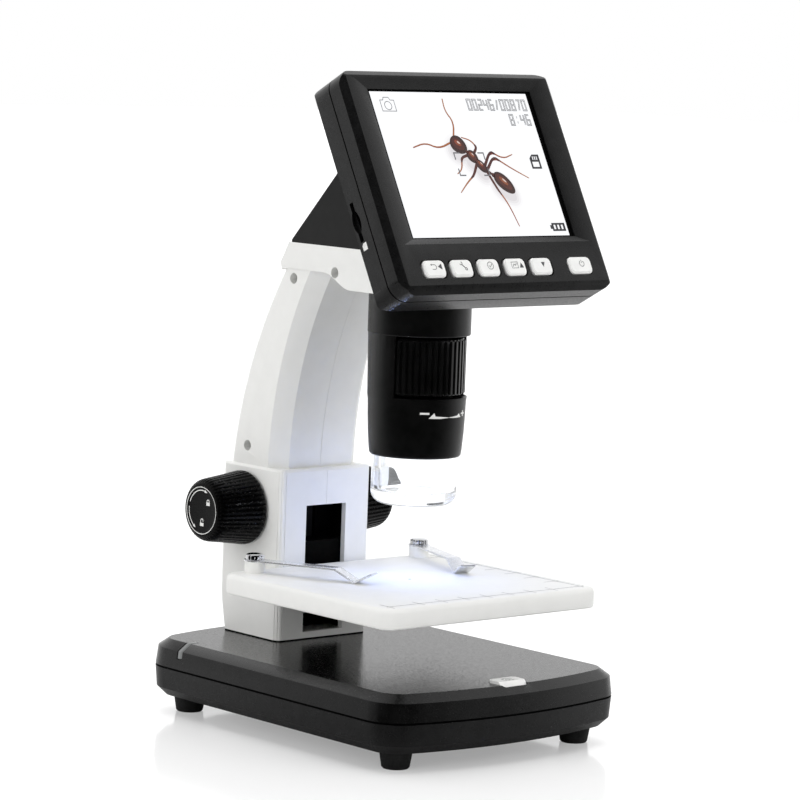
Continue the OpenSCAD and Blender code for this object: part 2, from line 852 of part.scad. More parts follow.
// Knurled thumb head with its stem, which turns in the stage's boss.
module clip_head() {
  notch = 0.3;
  teeth = 18;
  difference() {
    union() {
      translate([0, 0, clip_t]) cylinder(r = clip_head_r, h = clip_head_h - 0.5);
      translate([0, 0, clip_t + clip_head_h - 0.5 - slice_t])
        cylinder(r1 = clip_head_r, r2 = clip_head_r - 0.6, h = 0.5);
      translate([0, 0, -boss_h - 2]) cylinder(r = 1.3 - run_fit, h = boss_h + 2 + clip_t + slice_t);
    }
    for (i = [0:teeth - 1])
      rotate([0, 0, i * 360 / teeth])
        translate([clip_head_r + 0.15, 0, clip_t - over]) cylinder(r = notch, h = clip_head_h + 2, $fn = 6);
  }
}

module clip_head_left() {
  color(steel) clip_at(-1, left_clip_turn) clip_head();
}

module clip_head_right() {
  color(steel) clip_at(1, right_clip_turn) clip_head();
}

// ---------------------------------------------------------------- knobs and shafts

knob_in_x = 21;
knob_out_x = 40;
knob_ribs = 44;
rib_w = 0.9;
rib_h = 0.55;
rib_end = 0.9;
shaft_r = 2;
shaft_left_x = -9.5;
bush_in_x = 8;
knob_bore_x = 33;

// Radius of the knob's outer surface over the distance from the column's side.
module knob_profile(shrink = 0) {
  near = knob_in_x;
  far = knob_out_x;
  polygon([
    [0, near], [11.8 - shrink, near], [12.9 - shrink, near + 0.9], [12.95 - shrink, near + 2.2],
    [12.1 - shrink, near + 4.4], [11.7 - shrink, near + 6.5], [10.8 - shrink, far - 3],
    [10.2 - shrink, far - 1.2], [9.3 - shrink, far - 0.2], [8.9 - shrink, far], [0, far]
  ]);
}

// A knob along +X around its own axis, ribbed, with a seat for its cap and a blind bore.
module knob(bore_r) {
  rotate([90, 0, 90])
    difference() {
      union() {
        rotate_extrude() knob_profile(rib_h);
        intersection() {
          rotate_extrude() knob_profile();
          for (i = [0:knob_ribs / 2 - 1])
            rotate([0, 0, i * 360 / knob_ribs])
              translate([0, 0, (knob_in_x + knob_out_x - rib_end) / 2])
                cube([30, rib_w, knob_out_x - knob_in_x - rib_end], center = true);
        }
      }
      translate([0, 0, knob_out_x - 1]) cylinder(r = 8.55, h = 3);
      translate([0, 0, knob_in_x - over]) cylinder(r = bore_r, h = knob_bore_x - knob_in_x + over);
      // The hollow behind the grip, round the hub.
      translate([0, 0, knob_in_x - over])
        difference() {
          cylinder(r = 9.2, h = 9 + over);
          translate([0, 0, -over]) cylinder(r = 4.5, h = 20);
        }
    }
}

// The glossy disc in the knob's end, slightly dished.
module knob_cap() {
  rotate([90, 0, 90])
    translate([0, 0, knob_out_x - 1])
      rotate_extrude()
        polygon([[0, 0], [8.5, 0], [8.5, 0.9], [8.2, 1.15], [7.9, 0.95], [4, 0.8], [0, 0.75]]);
}

module at_shaft() {
  translate([0, shaft_y, shaft_z]) children();
}

module focus_knob() {
  color(shell_black) at_shaft() knob(shaft_r + 0.01);
}

module focus_knob_cap() {
  color([0.05, 0.05, 0.05]) at_shaft() knob_cap();
}

module lock_knob() {
  color(shell_black) at_shaft() mirror([1, 0, 0]) knob(thread_r + 0.01);
}

module lock_knob_cap() {
  color([0.05, 0.05, 0.05]) at_shaft() mirror([1, 0, 0]) knob_cap();
}

module focus_shaft() {
  color(steel) at_shaft() rod_x(shaft_r, shaft_left_x, knob_bore_x);
}

// Involute flank: distance from the base circle's start, t is the roll angle in degrees.
function involute(rb, t) = [
  rb * (cos(t) + t * PI / 180 * sin(t)),
  rb * (sin(t) - t * PI / 180 * cos(t))
];
function turn(p, a) = [p[0] * cos(a) - p[1] * sin(a), p[0] * sin(a) + p[1] * cos(a)];

module pinion() {
  base_circle = pitch_r * cos(pressure);
  tip_r = pitch_r + tooth_module;
  root_r = pitch_r - 1.2 * tooth_module;
  half_angle = 90 / pinion_teeth - play / pitch_r * 90 / PI;
  pitch_roll = tan(pressure) * 180 / PI;
  tip_roll = sqrt(pow(tip_r / base_circle, 2) - 1) * 180 / PI;
  lean = pitch_roll - pressure + half_angle;
  steps = 5;
  flank = [for (i = [0:steps]) turn(involute(base_circle, tip_roll * i / steps), -lean)];
  tooth = concat([turn([root_r - 0.3, 0], -lean)], flank,
                 [for (i = [steps:-1:0]) [flank[i][0], -flank[i][1]]],
                 [turn([root_r - 0.3, 0], lean)]);
  color(steel)
    at_shaft()
      rotate([90, 0, 90])
        difference() {
          translate([0, 0, -4.5])
            linear_extrude(9) {
              circle(r = root_r);
              // The first tooth points at the rack.
              for (i = [0:pinion_teeth - 1])
                rotate(180 + i * 360 / pinion_teeth) polygon(tooth);
            }
          translate([0, 0, -5.5]) cylinder(r = shaft_r + 0.01, h = 11);
        }
}

module shaft_bush() {
  color([0.8, 0.65, 0.3])
    at_shaft()
      difference() {
        rod_x(bush_r, bush_in_x, column_w / 2 + 0.1);
        rod_x(shaft_r + run_fit, bush_in_x - over, column_w / 2 + over);
      }
}

module lock_screw() {
  color(steel) at_shaft() rod_x(thread_r, -knob_bore_x, shaft_left_x - 1.8);
}

module brake_pad() {
  color([0.9, 0.9, 0.85]) at_shaft() rod_x(1.8, shaft_left_x - 1.8, shaft_left_x - 0.4);
}

// ---------------------------------------------------------------- barrel and optics

barrel_low_z = 96.3;
barrel_top_z = head_top_z - wall;
band_room_r = 16.35;
bore_r = 13.2;
band_low_z = 116.5;
band_top_z = 137.6;
ring_half_angle = 69;
cap_r = 14.65;
cap_low_z = 79.5;
cap_top_z = 103;

module at_optic() {
  translate([0, -optic_y, 0]) children();
}

// The barrel: straight at the top, a step, then a slow taper to a rounded lower rim.
module barrel_shell() {
  color(shell_black)
    at_optic()
      difference() {
        rotate_extrude($fn = 96)
          difference() {
            polygon([
              [0, barrel_low_z], [15.2, barrel_low_z], [15.6, barrel_low_z + 0.5],
              [15.85, barrel_low_z + 2.2], [16.3, 104], [16.55, 109], [16.75, 115.2],
              [16.95, band_low_z], [17.35, band_top_z], [17.55, band_top_z + 0.3],
              [17.55, barrel_top_z], [0, barrel_top_z]
            ]);
            // The lower mouth, the room of the ring and the room above it.
            translate([0, barrel_low_z - over]) square([cap_r + 0.02, cap_top_z + 1.4 - barrel_low_z + over]);
            translate([0, cap_top_z - over]) square([bore_r, barrel_top_z - cap_top_z - 2]);
            translate([0, band_low_z]) square([band_room_r, band_top_z - band_low_z]);
          }
        // The window that shows the focus ring.
        translate([0, 0, band_low_z + 0.2])
          rotate([0, 0, -90 - ring_half_angle])
            rotate_extrude(angle = 2 * ring_half_angle)
              translate([bore_r - 1, 0]) square([10, band_top_z - band_low_z - 0.2]);
      }
}

// The ribbed ring that is turned to focus.
module focus_ring() {
  ribs = 48;
  core_r = 15.3;
  rib_r = band_room_r - 0.1;
  color(shell_black)
    at_optic()
      difference() {
        union() {
          translate([0, 0, band_low_z + 0.5])
            cylinder(r = core_r, h = band_top_z - band_low_z - 1);
          for (i = [0:ribs - 1])
            rotate([0, 0, i * 360 / ribs])
              translate([0, 0, band_low_z + 0.9])
                linear_extrude(band_top_z - band_low_z - 1.8)
                  polygon([[core_r - 0.3, -0.75], [rib_r - 0.3, -0.45], [rib_r, -0.15],
                           [rib_r, 0.15], [rib_r - 0.3, 0.45], [core_r - 0.3, 0.75]]);
        }
        translate([0, 0, band_low_z]) cylinder(r = 12.4, h = 30);
      }
}

module lens_carrier() {
  color([0.2, 0.2, 0.2])
    at_optic()
      difference() {
        translate([0, 0, 108]) cylinder(r = 12, h = 26);
        translate([0, 0, 107]) cylinder(r = 7.5, h = 5.5);
        translate([0, 0, 108]) cylinder(r = 6, h = 30);
      }
}

// Two lenses: each is a disc with one domed face.
module lens_glass() {
  color([0.7, 0.85, 0.95, 0.5])
    at_optic() {
      translate([0, 0, 112.5]) mirror([0, 0, 1])
        intersection() {
          cylinder(r = 7.5, h = 4);
          translate([0, 0, -11]) sphere(r = 14, $fn = 96);
        }
      translate([0, 0, 124]) cylinder(r = 6, h = 2);
    }
}

module sensor_board() {
  color(board_green) at_optic() translate([0, 0, 142]) linear_extrude(1.6) square([18, 18], center = true);
  color([0.1, 0.1, 0.1])
    at_optic() translate([0, 0, 140.4]) linear_extrude(1.6 + slice_t) square([9, 8], center = true);
  // Bracket arms that carry the board from the barrel's wall.
  color(shell_black)
    at_optic()
      translate([0, 0, 143.6])
        intersection() {
          linear_extrude(2) square([40, 6], center = true);
          cylinder(r = bore_r - 0.02, h = 2);
        }
}

led_count = 8;
led_ring_r = 9.6;

module led_board() {
  color([0.95, 0.95, 0.92])
    at_optic()
      translate([0, 0, cap_top_z + 0.2])
        difference() {
          cylinder(r = cap_r - 0.1, h = 1.2);
          translate([0, 0, -over]) cylinder(r = 6.2, h = 4);
        }
}

module leds() {
  color([1, 1, 0.85])
    at_optic()
      for (i = [0:led_count - 1])
        rotate([0, 0, (i + 0.5) * 360 / led_count])
          translate([led_ring_r, 0, cap_top_z - 1.2])
            linear_extrude(1.4) square([2.6, 2.2], center = true);
}

// The clear hood: a thick cup with a rounded lower edge.
module clear_cap() {
  inner_r = 11.9;
  floor_top = cap_low_z + 4.4;
  edge_r = 4.2;
  color([0.9, 0.95, 1, 0.35])
    at_optic()
      rotate_extrude($fn = 96)
        difference() {
          union() {
            translate([0, cap_low_z]) square([cap_r - edge_r, 10]);
            translate([cap_r - edge_r, cap_low_z + edge_r]) intersection() {
              circle(r = edge_r);
              translate([0, -edge_r]) square(edge_r);
            }
            translate([0, cap_low_z + edge_r]) square([cap_r, cap_top_z - cap_low_z - edge_r]);
          }
          translate([0, floor_top]) square([inner_r, 40]);
        }
}

// ---------------------------------------------------------------- display

case_r = 6;
face_n = 2;
bezel_back_n = 5.6;
case_back_n = 14;
edge_in = 2.3;
edge_n = 1.9;
opening_w = lcd_w + 0.9;
opening_h = lcd_h + 0.9;
bevel_w = 83;
bevel_up = 30.2;
bevel_down = 29.4;
case_h = case_up + case_down;
case_mid = (case_up - case_down) / 2;
case_wall = 2;
key_w = 10.2;
key_h = 6;
key_v = -38.3;
key_pitch = 11.86;
key_first = -32.1;
power_u = 33.1;
key_r = 1.8;
key_proud = 0.8;
key_base_n = 2.6;
panel_back_n = 4.2;

// Puts its children in the display's frame: X along the screen, Y into the case, Z up the screen.
module at_display() {
  translate([0, -lcd_front, lcd_z]) rotate([-tilt, 0, 0]) children();
}

// Case outline in (x, z), moved inwards by inset.
module case_outline(inset = 0) {
  translate([0, case_mid])
    rounded_rect(case_w - 2 * inset, case_h - 2 * inset, max(case_r - inset, 0.8));
}

// Places its children at each key, from left to right, the power key last.
function key_u(i) = i < 5 ? key_first + i * key_pitch : power_u;

module display_bezel() {
  half = case_w / 2;
  color(shell_black)
    at_display()
      difference() {
        intersection() {
          along_y(-face_n, bezel_back_n) case_outline();
          // The four edges of the face are bevelled, with mitred corners.
          translate([0, 0, -100])
            linear_extrude(200)
              polygon([[-half, bezel_back_n], [-half, edge_n - face_n], [edge_in - half, -face_n],
                       [half - edge_in, -face_n], [half, edge_n - face_n], [half, bezel_back_n]]);
          along_x(-half, half)
            polygon([[bezel_back_n, -case_down], [edge_n - face_n, -case_down],
                     [-face_n, -case_down + edge_in + 0.4], [-face_n, case_up - edge_in],
                     [edge_n - face_n, case_up], [bezel_back_n, case_up]]);
        }
        // The inside, behind the face.
        along_y(2.6, bezel_back_n + over) case_outline(case_wall);
        // The seam line.
        along_y(bezel_back_n - 0.3, bezel_back_n + over)
          difference() {
            case_outline(-over);
            case_outline(0.4);
          }
        // The picture opening, with sloping sides.
        hull() {
          along_y(-0.2, 0) square([opening_w, opening_h], center = true);
          along_y(-face_n - 0.05, -face_n)
            translate([0, (bevel_up - bevel_down) / 2])
              square([bevel_w, bevel_up + bevel_down], center = true);
        }
        along_y(-0.2, bezel_back_n) square([opening_w, opening_h], center = true);
        // Seat of the screen panel.
        along_y(0.8, bezel_back_n) square([lcd_w + 6.4, lcd_h + 5.4], center = true);
        // Key openings.
        for (i = [0:5])
          translate([key_u(i), 0, key_v])
            along_y(-face_n - over, bezel_back_n) rounded_rect(key_w + 2 * gap, key_h + 2 * gap, key_r + gap);
      }
  // Posts for the case screws.
  color(shell_black)
    at_display()
      for (at = display_screw_at)
        translate([at[0], 2.6 - slice_t, at[1]])
          rotate([-90, 0, 0])
            difference() {
              cylinder(r = 2.6, h = post_end_n - 2.6 + slice_t);
              translate([0, 0, 1.5]) cylinder(r = 1.07, h = 8);
            }
}

module display_rear_shell() {
  corner = 1.25;
  half = case_w / 2;
  inner_n = case_back_n - case_wall;
  color(shell_black)
    at_display() {
      difference() {
        intersection() {
          along_y(bezel_back_n, case_back_n) case_outline();
          // The rear edges are broken.
          translate([0, 0, -100])
            linear_extrude(200)
              polygon([[-half, bezel_back_n], [half, bezel_back_n], [half, case_back_n - corner],
                       [half - corner, case_back_n], [corner - half, case_back_n],
                       [-half, case_back_n - corner]]);
          along_x(-half, half)
            polygon([[bezel_back_n, -case_down], [bezel_back_n, case_up], [case_back_n - corner, case_up],
                     [case_back_n, case_up - corner], [case_back_n, corner - case_down],
                     [case_back_n - corner, -case_down]]);
        }
        along_y(bezel_back_n - over, inner_n) case_outline(case_wall);
        // The card slot in the left side, with a lens-shaped finger notch in its middle.
        translate([-half, card_n, card_v]) {
          cube([8, card_slot_t, card_slot_l], center = true);
          intersection_for (sy = [-1, 1])
            translate([0, sy * (notch_arc_r - notch_half), 0]) rod_x(notch_arc_r, -over, notch_deep);
        }
        // The cable way into the head.
        translate([0, inner_n - over, duct_v]) rotate([-90, 0, 0]) cylinder(r = 6, h = 5);
        // The screws' holes with their counterbores.
        for (at = display_screw_at)
          translate([at[0], 0, at[1]]) rotate([-90, 0, 0]) {
            cylinder(r = 1.4, h = case_back_n + over);
            translate([0, 0, screw_seat_n]) cylinder(r = 2.4, h = 5);
          }
      }
      // Bosses round the screws.
      for (at = display_screw_at)
        translate([at[0], post_end_n, at[1]])
          rotate([-90, 0, 0])
            difference() {
              cylinder(r = 3, h = inner_n - post_end_n + slice_t);
              translate([0, 0, -over]) cylinder(r = 1.4, h = 9);
              translate([0, 0, screw_seat_n - post_end_n]) cylinder(r = 2.4, h = 5);
            }
      // Posts that carry the boards.
      for (at = [[-34, 22], [34, 22], [34, -28], [-12, -28]])
        translate([at[0], board_back_n, at[1]])
          rotate([-90, 0, 0]) cylinder(r = 2, h = inner_n - board_back_n + slice_t);
      for (sx = [-1, 1])
        translate([sx * 22, key_board_n + 1, key_v])
          rotate([-90, 0, 0]) cylinder(r = 1.6, h = inner_n - key_board_n - 1 + slice_t);
    }
}

card_n = 10.6;
card_v = -15.9;
card_slot_l = 13.8;
card_slot_t = 1.7;
notch_arc_r = 6.4;
notch_half = 2;
notch_deep = 1.5;
duct_v = -8;
display_screw_at = [[-41.6, 26], [41.6, 26], [-42, -41], [42, -41]];
post_end_n = 9;
screw_seat_n = 11.2;
board_n = 6.2;
board_back_n = board_n + 1.6;
key_board_n = 6.2;

module lcd_panel() {
  color([0.85, 0.88, 0.9])
    at_display() {
      along_y(0, 2.6) square([lcd_w, lcd_h], center = true);
      along_y(0.85, panel_back_n) square([lcd_w + 6, lcd_h + 5], center = true);
    }
}

module display_board() {
  low = -34.4;
  high = 28.4;
  color(board_green)
    at_display()
      along_y(board_n, board_back_n)
        difference() {
          translate([0, (low + high) / 2]) square([case_w - 12, high - low], center = true);
          for (at = display_screw_at) translate([at[0], at[1]]) circle(r = 3.6);
        }
  color([0.12, 0.12, 0.12])
    at_display() {
      translate([5, 0, 2]) along_y(board_back_n, board_back_n + 1.6) square([14, 14], center = true);
      translate([-14, 0, 10]) along_y(board_back_n, board_back_n + 1.2) square([11, 8], center = true);
      // Foam blocks between the panel and the board.
      for (sx = [-1, 1])
        translate([sx * 24, 0, 0]) along_y(panel_back_n, board_n) square([10, 30], center = true);
    }
}

module card_socket() {
  color(steel)
    at_display()
      difference() {
        translate([-case_w / 2 + case_wall + 0.1, board_back_n, card_v - 8])
          cube([16, case_back_n - case_wall - board_back_n - 0.1, 16]);
        translate([-case_w / 2 + 1, card_n - card_slot_t / 2, card_v - 5.8])
          cube([15, card_slot_t, 11.6]);
      }
}

module key_board() {
  switch_n = 4.2;
  color(board_green)
    at_display()
      translate([0, 0, key_v]) along_y(key_board_n, key_board_n + 1) square([76, 6.4], center = true);
  color([0.2, 0.2, 0.2])
    at_display()
      for (i = [0:5])
        translate([key_u(i), 0, key_v]) {
          along_y(switch_n, key_board_n) square([4.4, 4.4], center = true);
          translate([0, switch_n - 0.5, 0]) rotate([-90, 0, 0]) cylinder(r = 1, h = 0.5 + slice_t);
        }
}

module display_screws() {
  color(steel)
    at_display()
      for (at = display_screw_at)
        translate([at[0], screw_seat_n + 1.6, at[1]]) rotate([-90, 0, 0]) screw(6.6, 2.2, 1.05);
}

// One key: a cap with broken edges and a flange behind the face.
module key(i) {
  color(shell_white)
    at_display()
      translate([key_u(i), 0, key_v]) {
        along_y(-face_n - key_proud + 0.5, key_base_n) rounded_rect(key_w, key_h, key_r);
        along_y(-face_n - key_proud + 0.2, -face_n - key_proud + 0.5 + slice_t)
          rounded_rect(key_w - 0.5, key_h - 0.5, key_r - 0.25);
        along_y(-face_n - key_proud, -face_n - key_proud + 0.2 + slice_t)
          rounded_rect(key_w - 1.2, key_h - 1.2, key_r - 0.5);
        along_y(key_base_n + 0.05, key_base_n + 0.65) square([key_w + 1, 7.4], center = true);
        along_y(key_base_n - slice_t, key_base_n + 0.1) rounded_rect(key_w, key_h, key_r);
      }
}

module key_return() { key(0); }
module key_setup() { key(1); }
module key_ok() { key(2); }
module key_up() { key(3); }
module key_down() { key(4); }
module key_power() { key(5); }

// The black housing between the white head and the display.
module head_cover() {
  rear_y = 31.5;
  color(shell_black)
    difference() {
      intersection() {
        along_x(-head_w / 2, head_w / 2)
          polygon([[rear_y, head_top_z], [rear_y, head_top_z + 0.9], [-11.8, 211.7],
                   [-60, 240], [-60, head_top_z]]);
        // It ends on the display's rear.
        at_display() span([-60, case_back_n, -60], [60, 90, 60]);
      }
      difference() {
        along_x(-head_w / 2 + wall, head_w / 2 - wall)
          polygon([[rear_y - 5, head_top_z + wall], [-12.6, 208], [-60, 240], [-60, head_top_z + wall]]);
        at_display() span([-60, case_back_n - over, -60], [60, case_back_n + wall, 60]);
      }
      translate([0, 10, head_top_z - over]) cylinder(r = 6, h = 2 * wall);
      at_display() translate([0, case_back_n - over, duct_v]) rotate([-90, 0, 0]) cylinder(r = 6, h = 5);
    }
}

// ---------------------------------------------------------------- what is drawn

base_upper_shell();
base_lower_shell();
base_feet();
base_screws();
snap_button();
snap_switch();
light_pipe();
battery();
charge_board();
power_socket();
column_left_shell();
column_right_shell();
guide_rail();
column_screws();
arm_left_shell();
arm_right_shell();
arm_screws();
stage_carriage();
rack();
stage_plate();
stage_screws();
clip_left();
clip_right();
clip_head_left();
clip_head_right();
focus_shaft();
pinion();
shaft_bush();
focus_knob();
focus_knob_cap();
lock_knob();
lock_knob_cap();
lock_screw();
brake_pad();
barrel_shell();
focus_ring();
lens_carrier();
lens_glass();
sensor_board();
led_board();
leds();
clear_cap();
head_cover();
display_rear_shell();
display_bezel();
lcd_panel();
display_board();
card_socket();
key_board();
display_screws();
key_return();
key_setup();
key_ok();
key_up();
key_down();
key_power();
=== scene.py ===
# %% [markdown]
# # A digital microscope with its own screen
#
# The solids come from a CAD model, already in place and with their joints. They are exact but bare:
# every edge is razor sharp and nothing has a surface. Here each one gets the rolled edges, ribs,
# prints and materials that a moulded instrument has. Lengths are in millimetres until the last
# moment, when `MM` turns them into Blender's metres.

# %% Open the CAD model
import math

import bmesh
import bpy
import numpy as np
from mathutils import Matrix, Vector


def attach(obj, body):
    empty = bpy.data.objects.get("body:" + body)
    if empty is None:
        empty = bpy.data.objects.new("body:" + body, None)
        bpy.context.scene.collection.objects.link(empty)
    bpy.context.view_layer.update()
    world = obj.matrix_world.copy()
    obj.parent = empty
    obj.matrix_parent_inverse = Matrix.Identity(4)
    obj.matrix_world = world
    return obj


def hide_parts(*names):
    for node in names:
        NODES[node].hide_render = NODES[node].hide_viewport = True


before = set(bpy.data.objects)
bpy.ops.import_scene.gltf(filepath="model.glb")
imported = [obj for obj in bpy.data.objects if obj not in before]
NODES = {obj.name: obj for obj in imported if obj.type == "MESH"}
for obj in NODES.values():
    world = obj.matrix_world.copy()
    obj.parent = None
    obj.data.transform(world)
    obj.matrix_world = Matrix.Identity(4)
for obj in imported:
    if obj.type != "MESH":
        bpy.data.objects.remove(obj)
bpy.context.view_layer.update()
MM = 0.001
TAU = 2 * math.pi
print("CAD nodes:", len(NODES))

# %% [markdown]
# ## Two ways to make a piece
#
# `add_piece` turns arrays of points and faces into an object that rides on a CAD body.
# `soften` starts from a CAD solid instead. It welds the copy, joins facets that lie in one plane,
# and lets a Bevel modifier roll the edges over, so each edge catches a line of light.

# %% Piece builders
DOUBLES = 0.0005  # points closer than this, in millimetres, are one point
FLAT = 0.4        # facets that meet at less than this many degrees lie in one plane
ROLL_FROM = 24    # edges sharper than this many degrees are rolled over


def shade(mesh, angle):
    """Smooth shading, kept crisp where two faces meet at more than the angle in degrees."""
    mesh.shade_smooth()
    mesh.set_sharp_from_angle(angle=math.radians(angle))


def finish_piece(obj, body, mats, nodes=()):
    """Gives a new object its materials and body, and hides the CAD nodes it stands for."""
    bpy.context.scene.collection.objects.link(obj)
    for mat in mats:
        obj.data.materials.append(mat)
    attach(obj, body)
    if nodes:
        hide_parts(*nodes)
    return obj


def add_piece(name, points, faces, body, mats, nodes, angle):
    """Builds a mesh from points in millimetres, welds doubles and turns its faces outward."""
    mesh = bpy.data.meshes.new(name)
    mesh.from_pydata((np.asarray(points, float) * MM).tolist(), [], [list(map(int, f)) for f in faces])
    bm = bmesh.new()
    bm.from_mesh(mesh)
    bmesh.ops.remove_doubles(bm, verts=bm.verts, dist=DOUBLES * MM)
    bmesh.ops.recalc_face_normals(bm, faces=bm.faces)
    bm.to_mesh(mesh)
    bm.free()
    shade(mesh, angle)
    finish_piece(bpy.data.objects.new(name, mesh), body, mats, nodes)
    print(f"{name}: {len(mesh.polygons)} faces")


def soften(node, mats, body="stand", width=0.3, segments=2, weld=0.004, change=None):
    """Copies a CAD node, welds it, joins its coplanar facets, maybe reshapes it, and rolls its edges over."""
    bm = bmesh.new()
    bm.from_mesh(NODES[node].data)
    bmesh.ops.remove_doubles(bm, verts=bm.verts, dist=weld * MM)
    bmesh.ops.dissolve_degenerate(bm, edges=bm.edges, dist=weld * MM)
    bmesh.ops.dissolve_limit(bm, angle_limit=math.radians(FLAT), verts=bm.verts, edges=bm.edges)
    if change:
        change(bm)
    mesh = bpy.data.meshes.new(node + "_finished")
    bm.to_mesh(mesh)
    bm.free()
    shade(mesh, ROLL_FROM + 4)
    obj = finish_piece(bpy.data.objects.new(mesh.name, mesh), body, mats, [node])
    bevel = obj.modifiers.new("rolled edges", "BEVEL")
    bevel.width = width * MM
    bevel.segments = segments
    bevel.limit_method = "ANGLE"
    bevel.angle_limit = math.radians(ROLL_FROM)
    bevel.harden_normals = True


# %% [markdown]
# ## Surfaces from formulas
#
# Turned pieces are a profile swept round an axis. The profile is a list of (radius, height) points,
# and the radius may change with the angle, which is all that a ribbed grip needs.

# %% Turned surfaces and flat prints
def turned(profile, steps=128, wobble=None):
    """Point (a, s) = (r cos a, r sin a, h), with (r, h) from the profile at s; wobble(a, s) adds to r."""
    profile = np.asarray(profile, float)
    a = TAU * np.arange(steps)[:, None] / steps
    r = profile[None, :, 0] + (0 if wobble is None else wobble(a, np.arange(len(profile))[None, :]))
    points = np.stack([r * np.cos(a), r * np.sin(a), profile[None, :, 1] + 0 * a], axis=-1).reshape(-1, 3)
    n = len(profile)
    i = np.arange(steps)[:, None] * n
    j = ((np.arange(steps)[:, None] + 1) % steps) * n
    k = np.arange(n - 1)[None, :]
    faces = np.stack([i + k, j + k, j + k + 1, i + k + 1], axis=-1).reshape(-1, 4)
    return points, faces


def drop_slivers(points, faces):
    """Quads that shrink to a line at a pole become triangles, so that the pole closes cleanly."""
    out = []
    for f in faces:
        keep = [f[0]]
        for v in f[1:]:
            if np.linalg.norm(points[v] - points[keep[-1]]) > 1e-6:
                keep.append(v)
        if len(keep) > 2 and np.linalg.norm(points[keep[0]] - points[keep[-1]]) < 1e-6:
            keep.pop()
        if len(keep) > 2:
            out.append(keep)
    return out


def join(parts):
    """Puts several (points, faces) pairs into one, shifting the face numbers."""
    points, faces, base = [], [], 0
    for p, f in parts:
        points.append(np.asarray(p, float))
        faces += [[v + base for v in face] for face in f]
        base += len(p)
    return np.concatenate(points), faces


# %% Flat figures
def stroke(path, width):
    """A flat ribbon of one width along a path in the plane, mitred at its corners."""
    path = np.asarray(path, float)
    closed = len(path) > 2 and np.allclose(path[0], path[-1])
    step = np.diff(path, axis=0)
    step /= np.linalg.norm(step, axis=1, keepdims=True)
    if closed:
        before, after = np.roll(step, 1, axis=0), step
        path = path[:-1]
    else:
        before, after = np.vstack([step[:1], step]), np.vstack([step, step[-1:]])
    side = before + after
    side /= np.maximum(np.linalg.norm(side, axis=1, keepdims=True), 1e-9)
    normal = np.stack([-side[:, 1], side[:, 0]], axis=1)
    reach = width / 2 / np.maximum(np.sum(side * after, axis=1, keepdims=True), 0.5)
    points = np.concatenate([path + normal * reach, path - normal * reach])
    n = len(path)
    ends = n if closed else n - 1
    faces = [[k, (k + 1) % n, n + (k + 1) % n, n + k] for k in range(ends)]
    return np.column_stack([points, np.zeros(2 * n)]), faces


def patch(outline):
    """A flat face with the given outline in the plane."""
    outline = np.asarray(outline, float)
    return np.column_stack([outline, np.zeros(len(outline))]), [list(range(len(outline)))]


def arc(centre, radius, a0, a1, steps=24):
    """Points on a circular arc in the plane, angles in degrees."""
    a = np.radians(np.linspace(a0, a1, steps + 1))
    return np.stack([centre[0] + radius * np.cos(a), centre[1] + radius * np.sin(a)], axis=1)


def moved(part, shift=(0, 0), scale=1.0, lift=0.0):
    """Shifts and scales a flat part in its plane and lifts it off."""
    points = part[0] * [scale, scale, 1] + [shift[0], shift[1], lift]
    return points, part[1]


# %% [markdown]
# ## Materials
#
# Moulded plastic isn't one flat colour. A fine noise in object space shifts its shade and roughness
# a little, and a finer one dents the surface, so that highlights break up into grain.

# %% Material makers
def new_material(name):
    """An empty node material and its Principled shader, its object coordinates and its node tree."""
    mat = bpy.data.materials.new(name)
    mat.use_nodes = True
    tree = mat.node_tree
    shader = tree.nodes["Principled BSDF"]
    coords = tree.nodes.new("ShaderNodeTexCoord")
    return mat, shader, coords.outputs["Object"], tree


def noise_node(tree, vector, scale, detail=2.0):
    """A noise texture on the given coordinates."""
    node = tree.nodes.new("ShaderNodeTexNoise")
    node.inputs["Scale"].default_value = scale
    node.inputs["Detail"].default_value = detail
    tree.links.new(vector, node.inputs["Vector"])
    return node.outputs["Fac"]


def spread(tree, value, low, high):
    """Maps noise, which stays near its middle, to the range from low to high."""
    node = tree.nodes.new("ShaderNodeMapRange")
    node.inputs["From Min"].default_value = 0.3
    node.inputs["From Max"].default_value = 0.7
    node.inputs["To Min"].default_value = low
    node.inputs["To Max"].default_value = high
    tree.links.new(value, node.inputs["Value"])
    return node.outputs["Result"]


def two_tone(tree, value, dark, light):
    """A colour between two shades, chosen by the noise."""
    node = tree.nodes.new("ShaderNodeValToRGB")
    for element, place, colour in zip(node.color_ramp.elements, (0.35, 0.65), (dark, light)):
        element.position = place
        element.color = (*colour, 1)
    tree.links.new(value, node.inputs["Fac"])
    return node.outputs["Color"]


def grained(name, dark, light, rough, scale=900, grain=0.15, depth=0.02, metal=0.0, gloss=0.5):
    """Moulded or cast stuff: two shades, a band of roughness and a fine bump of depth millimetres."""
    mat, shader, vector, tree = new_material(name)
    broad = noise_node(tree, vector, scale / 6)
    fine = noise_node(tree, vector, scale, detail=3)
    tree.links.new(two_tone(tree, broad, dark, light), shader.inputs["Base Color"])
    tree.links.new(spread(tree, fine, rough[0], rough[1]), shader.inputs["Roughness"])
    bump = tree.nodes.new("ShaderNodeBump")
    bump.inputs["Strength"].default_value = grain
    bump.inputs["Distance"].default_value = depth * MM
    tree.links.new(fine, bump.inputs["Height"])
    tree.links.new(bump.outputs["Normal"], shader.inputs["Normal"])
    shader.inputs["Metallic"].default_value = metal
    shader.inputs["Specular IOR Level"].default_value = gloss
    return mat


